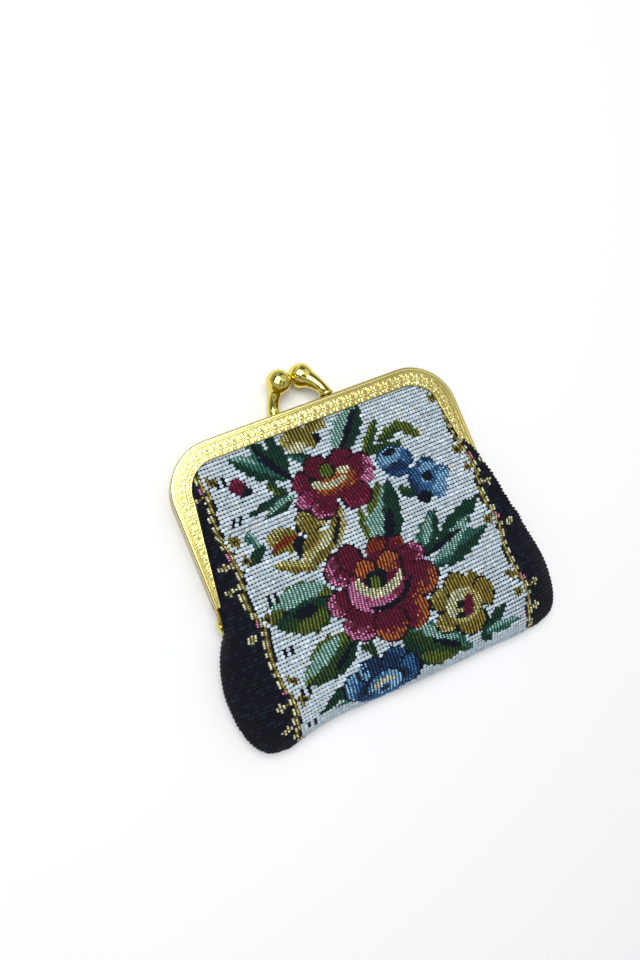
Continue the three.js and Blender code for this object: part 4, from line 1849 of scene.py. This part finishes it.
        edit(made, bpy.ops.mesh.delete_loose)
        return made

    def stitch_colours(self, yarn: np.ndarray, level: np.ndarray, draw: np.random.Generator) -> np.ndarray:
        """Colours of every stitch's twelve points, varied from stitch to stitch, with painted shade at its
        edges and a painted highlight on top.

        Args:
            yarn: Marks of the stitches' yarns.
            level: Whether each stitch is a level float.
            draw: Where the chance values come from.

        Returns:
            Linear colours by stitch and point.
        """
        base = DYES[yarn] * np.where(np.isin(yarn, DOTTED), 1.3, 0.92)[:, None]
        uneven = np.where(np.isin(yarn, GROUND), 0.13, 0.24)
        base = base * np.exp(uneven * draw.normal(0, 1, len(yarn)))[:, None]
        speck = (yarn == Yarn.NAVY.mark) & (draw.random(len(yarn)) < 0.25)
        base[speck] = linear((21, 29, 42))
        warm = (yarn == Yarn.PALE.mark) & (draw.random(len(yarn)) < 0.06)
        base[warm] = linear((204, 208, 200))
        # Painted shade at each stitch's sides and ends, painted highlight along its top.
        return base[:, None] * np.where(level[:, None], FLOAT_PAINTED_SHADING, SHORT_PAINTED_SHADING)[..., None]

    def build(self, finish: bpy.types.Material) -> list:
        """Make the shell and both woven faces and dress them.

        Args:
            finish: The yarn's material.

        Returns:
            The three pieces.
        """
        cloth = dress(self.shell(), finish, "pouch")
        woven = [dress(self.weave(half), finish) for half in Half]
        return [cloth, *woven]


@dataclass
class PhotoTable:
    """The pale floor, the soft lights and the camera, placed as for the photograph."""

    lens: float = 25.875
    turn: tuple = (-0.0852, -0.2827, -0.3868)
    shift: tuple = (-4.0866, -20.7431, 185.7237)
    face_height: float = 8.7

    def camera(self) -> None:
        """Place the camera from the viewpoint solved on the frame's outline."""
        angle = Vector(self.turn).length
        rotation = Matrix.Rotation(angle, 3, Vector(self.turn).normalized())
        flip = Matrix(((1, 0, 0), (0, -1, 0), (0, 0, -1)))
        centre = flip @ (rotation.transposed() @ -Vector(self.shift))
        right, below, ahead = (flip @ row for row in rotation)
        axes = Matrix((right, -below, -ahead)).transposed().to_4x4()
        place = (centre + Vector((0, TOP_EDGE, self.face_height))) * METRES
        data = bpy.data.cameras.new("photo_view")
        data.lens = self.lens
        data.clip_start, data.clip_end = 0.005, 10
        made = put("photo_view", data)
        made.matrix_world = Matrix.Translation(place) @ axes
        bpy.context.scene.camera = made

    def floor(self) -> None:
        """Lay the plain pale floor."""
        made = primitive(bpy.ops.mesh.primitive_plane_add, size=6, location=(0, 0, -0.00002))
        made.name = "floor"
        material, sheet, shader = Finish("pale_floor").start()
        sheet.set(shader, Base_Color=(0.93, 0.93, 0.93, 1), Roughness=0.9)
        made.data.materials.append(material)

    def lamp(self, name: str, place: tuple, size: float, power: float, colour: tuple = (1, 1, 1)) -> None:
        """Hang one square soft lamp that faces the purse.

        Args:
            name: Name of the lamp.
            place: Where it hangs, in metres.
            size: Length of its side.
            power: Power in watts.
            colour: Colour of its light.
        """
        data = bpy.data.lights.new(name, "AREA")
        data.size, data.energy, data.color = size, power, colour
        made = put(name, data)
        made.location = place
        made.rotation_euler = (-Vector(place)).to_track_quat("-Z", "Y").to_euler()

    def light(self) -> None:
        """Light the purse softly from above with a darker surround."""
        world = bpy.data.worlds.new("studio")
        world.use_nodes = True
        sheet = NodeSheet(world.node_tree)
        way = sheet.add("ShaderNodeTexCoord").outputs["Generated"]
        height = sheet.add("ShaderNodeSeparateXYZ", Vector=way).outputs["Z"]
        room = sheet.add("ShaderNodeTexNoise", Vector=way, Scale=2.6, Detail=1.5).outputs[0]
        overhead = sheet.spread(height, 0.3, 0.5, 0.0, 1.0)
        patches = sheet.spread(room, 0.46, 0.54, sheet.spread(overhead, 0.0, 1.0, 1.2, 0.16), 1.2)
        level = sheet.maths("MULTIPLY", sheet.spread(height, -0.1, 0.95, 0.3, 0.58), patches)
        back = world.node_tree.nodes["Background"]
        back.inputs["Color"].default_value = (0.9, 0.95, 1.0, 1)
        sheet.feed(back.inputs["Strength"], level)
        bpy.context.scene.world = world
        bpy.context.scene.view_settings.view_transform = "Standard"
        self.lamp("overhead", (-0.12, 0.2, 0.62), 0.46, 3.8)
        self.lamp("side", (0.42, 0.1, 0.5), 0.6, 0.55)

    def build(self) -> None:
        """Set up floor, lights and camera."""
        self.floor()
        self.light()
        self.camera()


def main() -> None:
    """Build the purse piece by piece over the CAD model and report each piece."""
    logging.basicConfig(level=logging.INFO, format="%(name)s: %(message)s")
    PhotoTable().build()
    sizes = FrameSizes()
    plate = GoldPlate("embossed_gold", hollow=0.35, painted_side_shade=0.8).build()
    mirror = GoldPlate("polished_gold", (238, 222, 116), (170, 138, 36), 0.04, 0.07).build()
    yarn = SpunYarn("tapestry_yarn").build()
    made = [FrameHalf(half, sizes).build(plate) for half in Half]
    made += [ClaspKnob(half, sizes).build(mirror) for half in Half]
    made += [HingeRivet(flank, sizes).build(mirror) for flank in Flank]
    made += Tapestry(PouchForm(sizes), RoseChart()).build(yarn)
    for piece in made:
        piece.data.calc_loop_triangles()
        log.info("%s: %d triangles", piece.name, len(piece.data.loop_triangles))


if __name__ == "__main__":
    main()
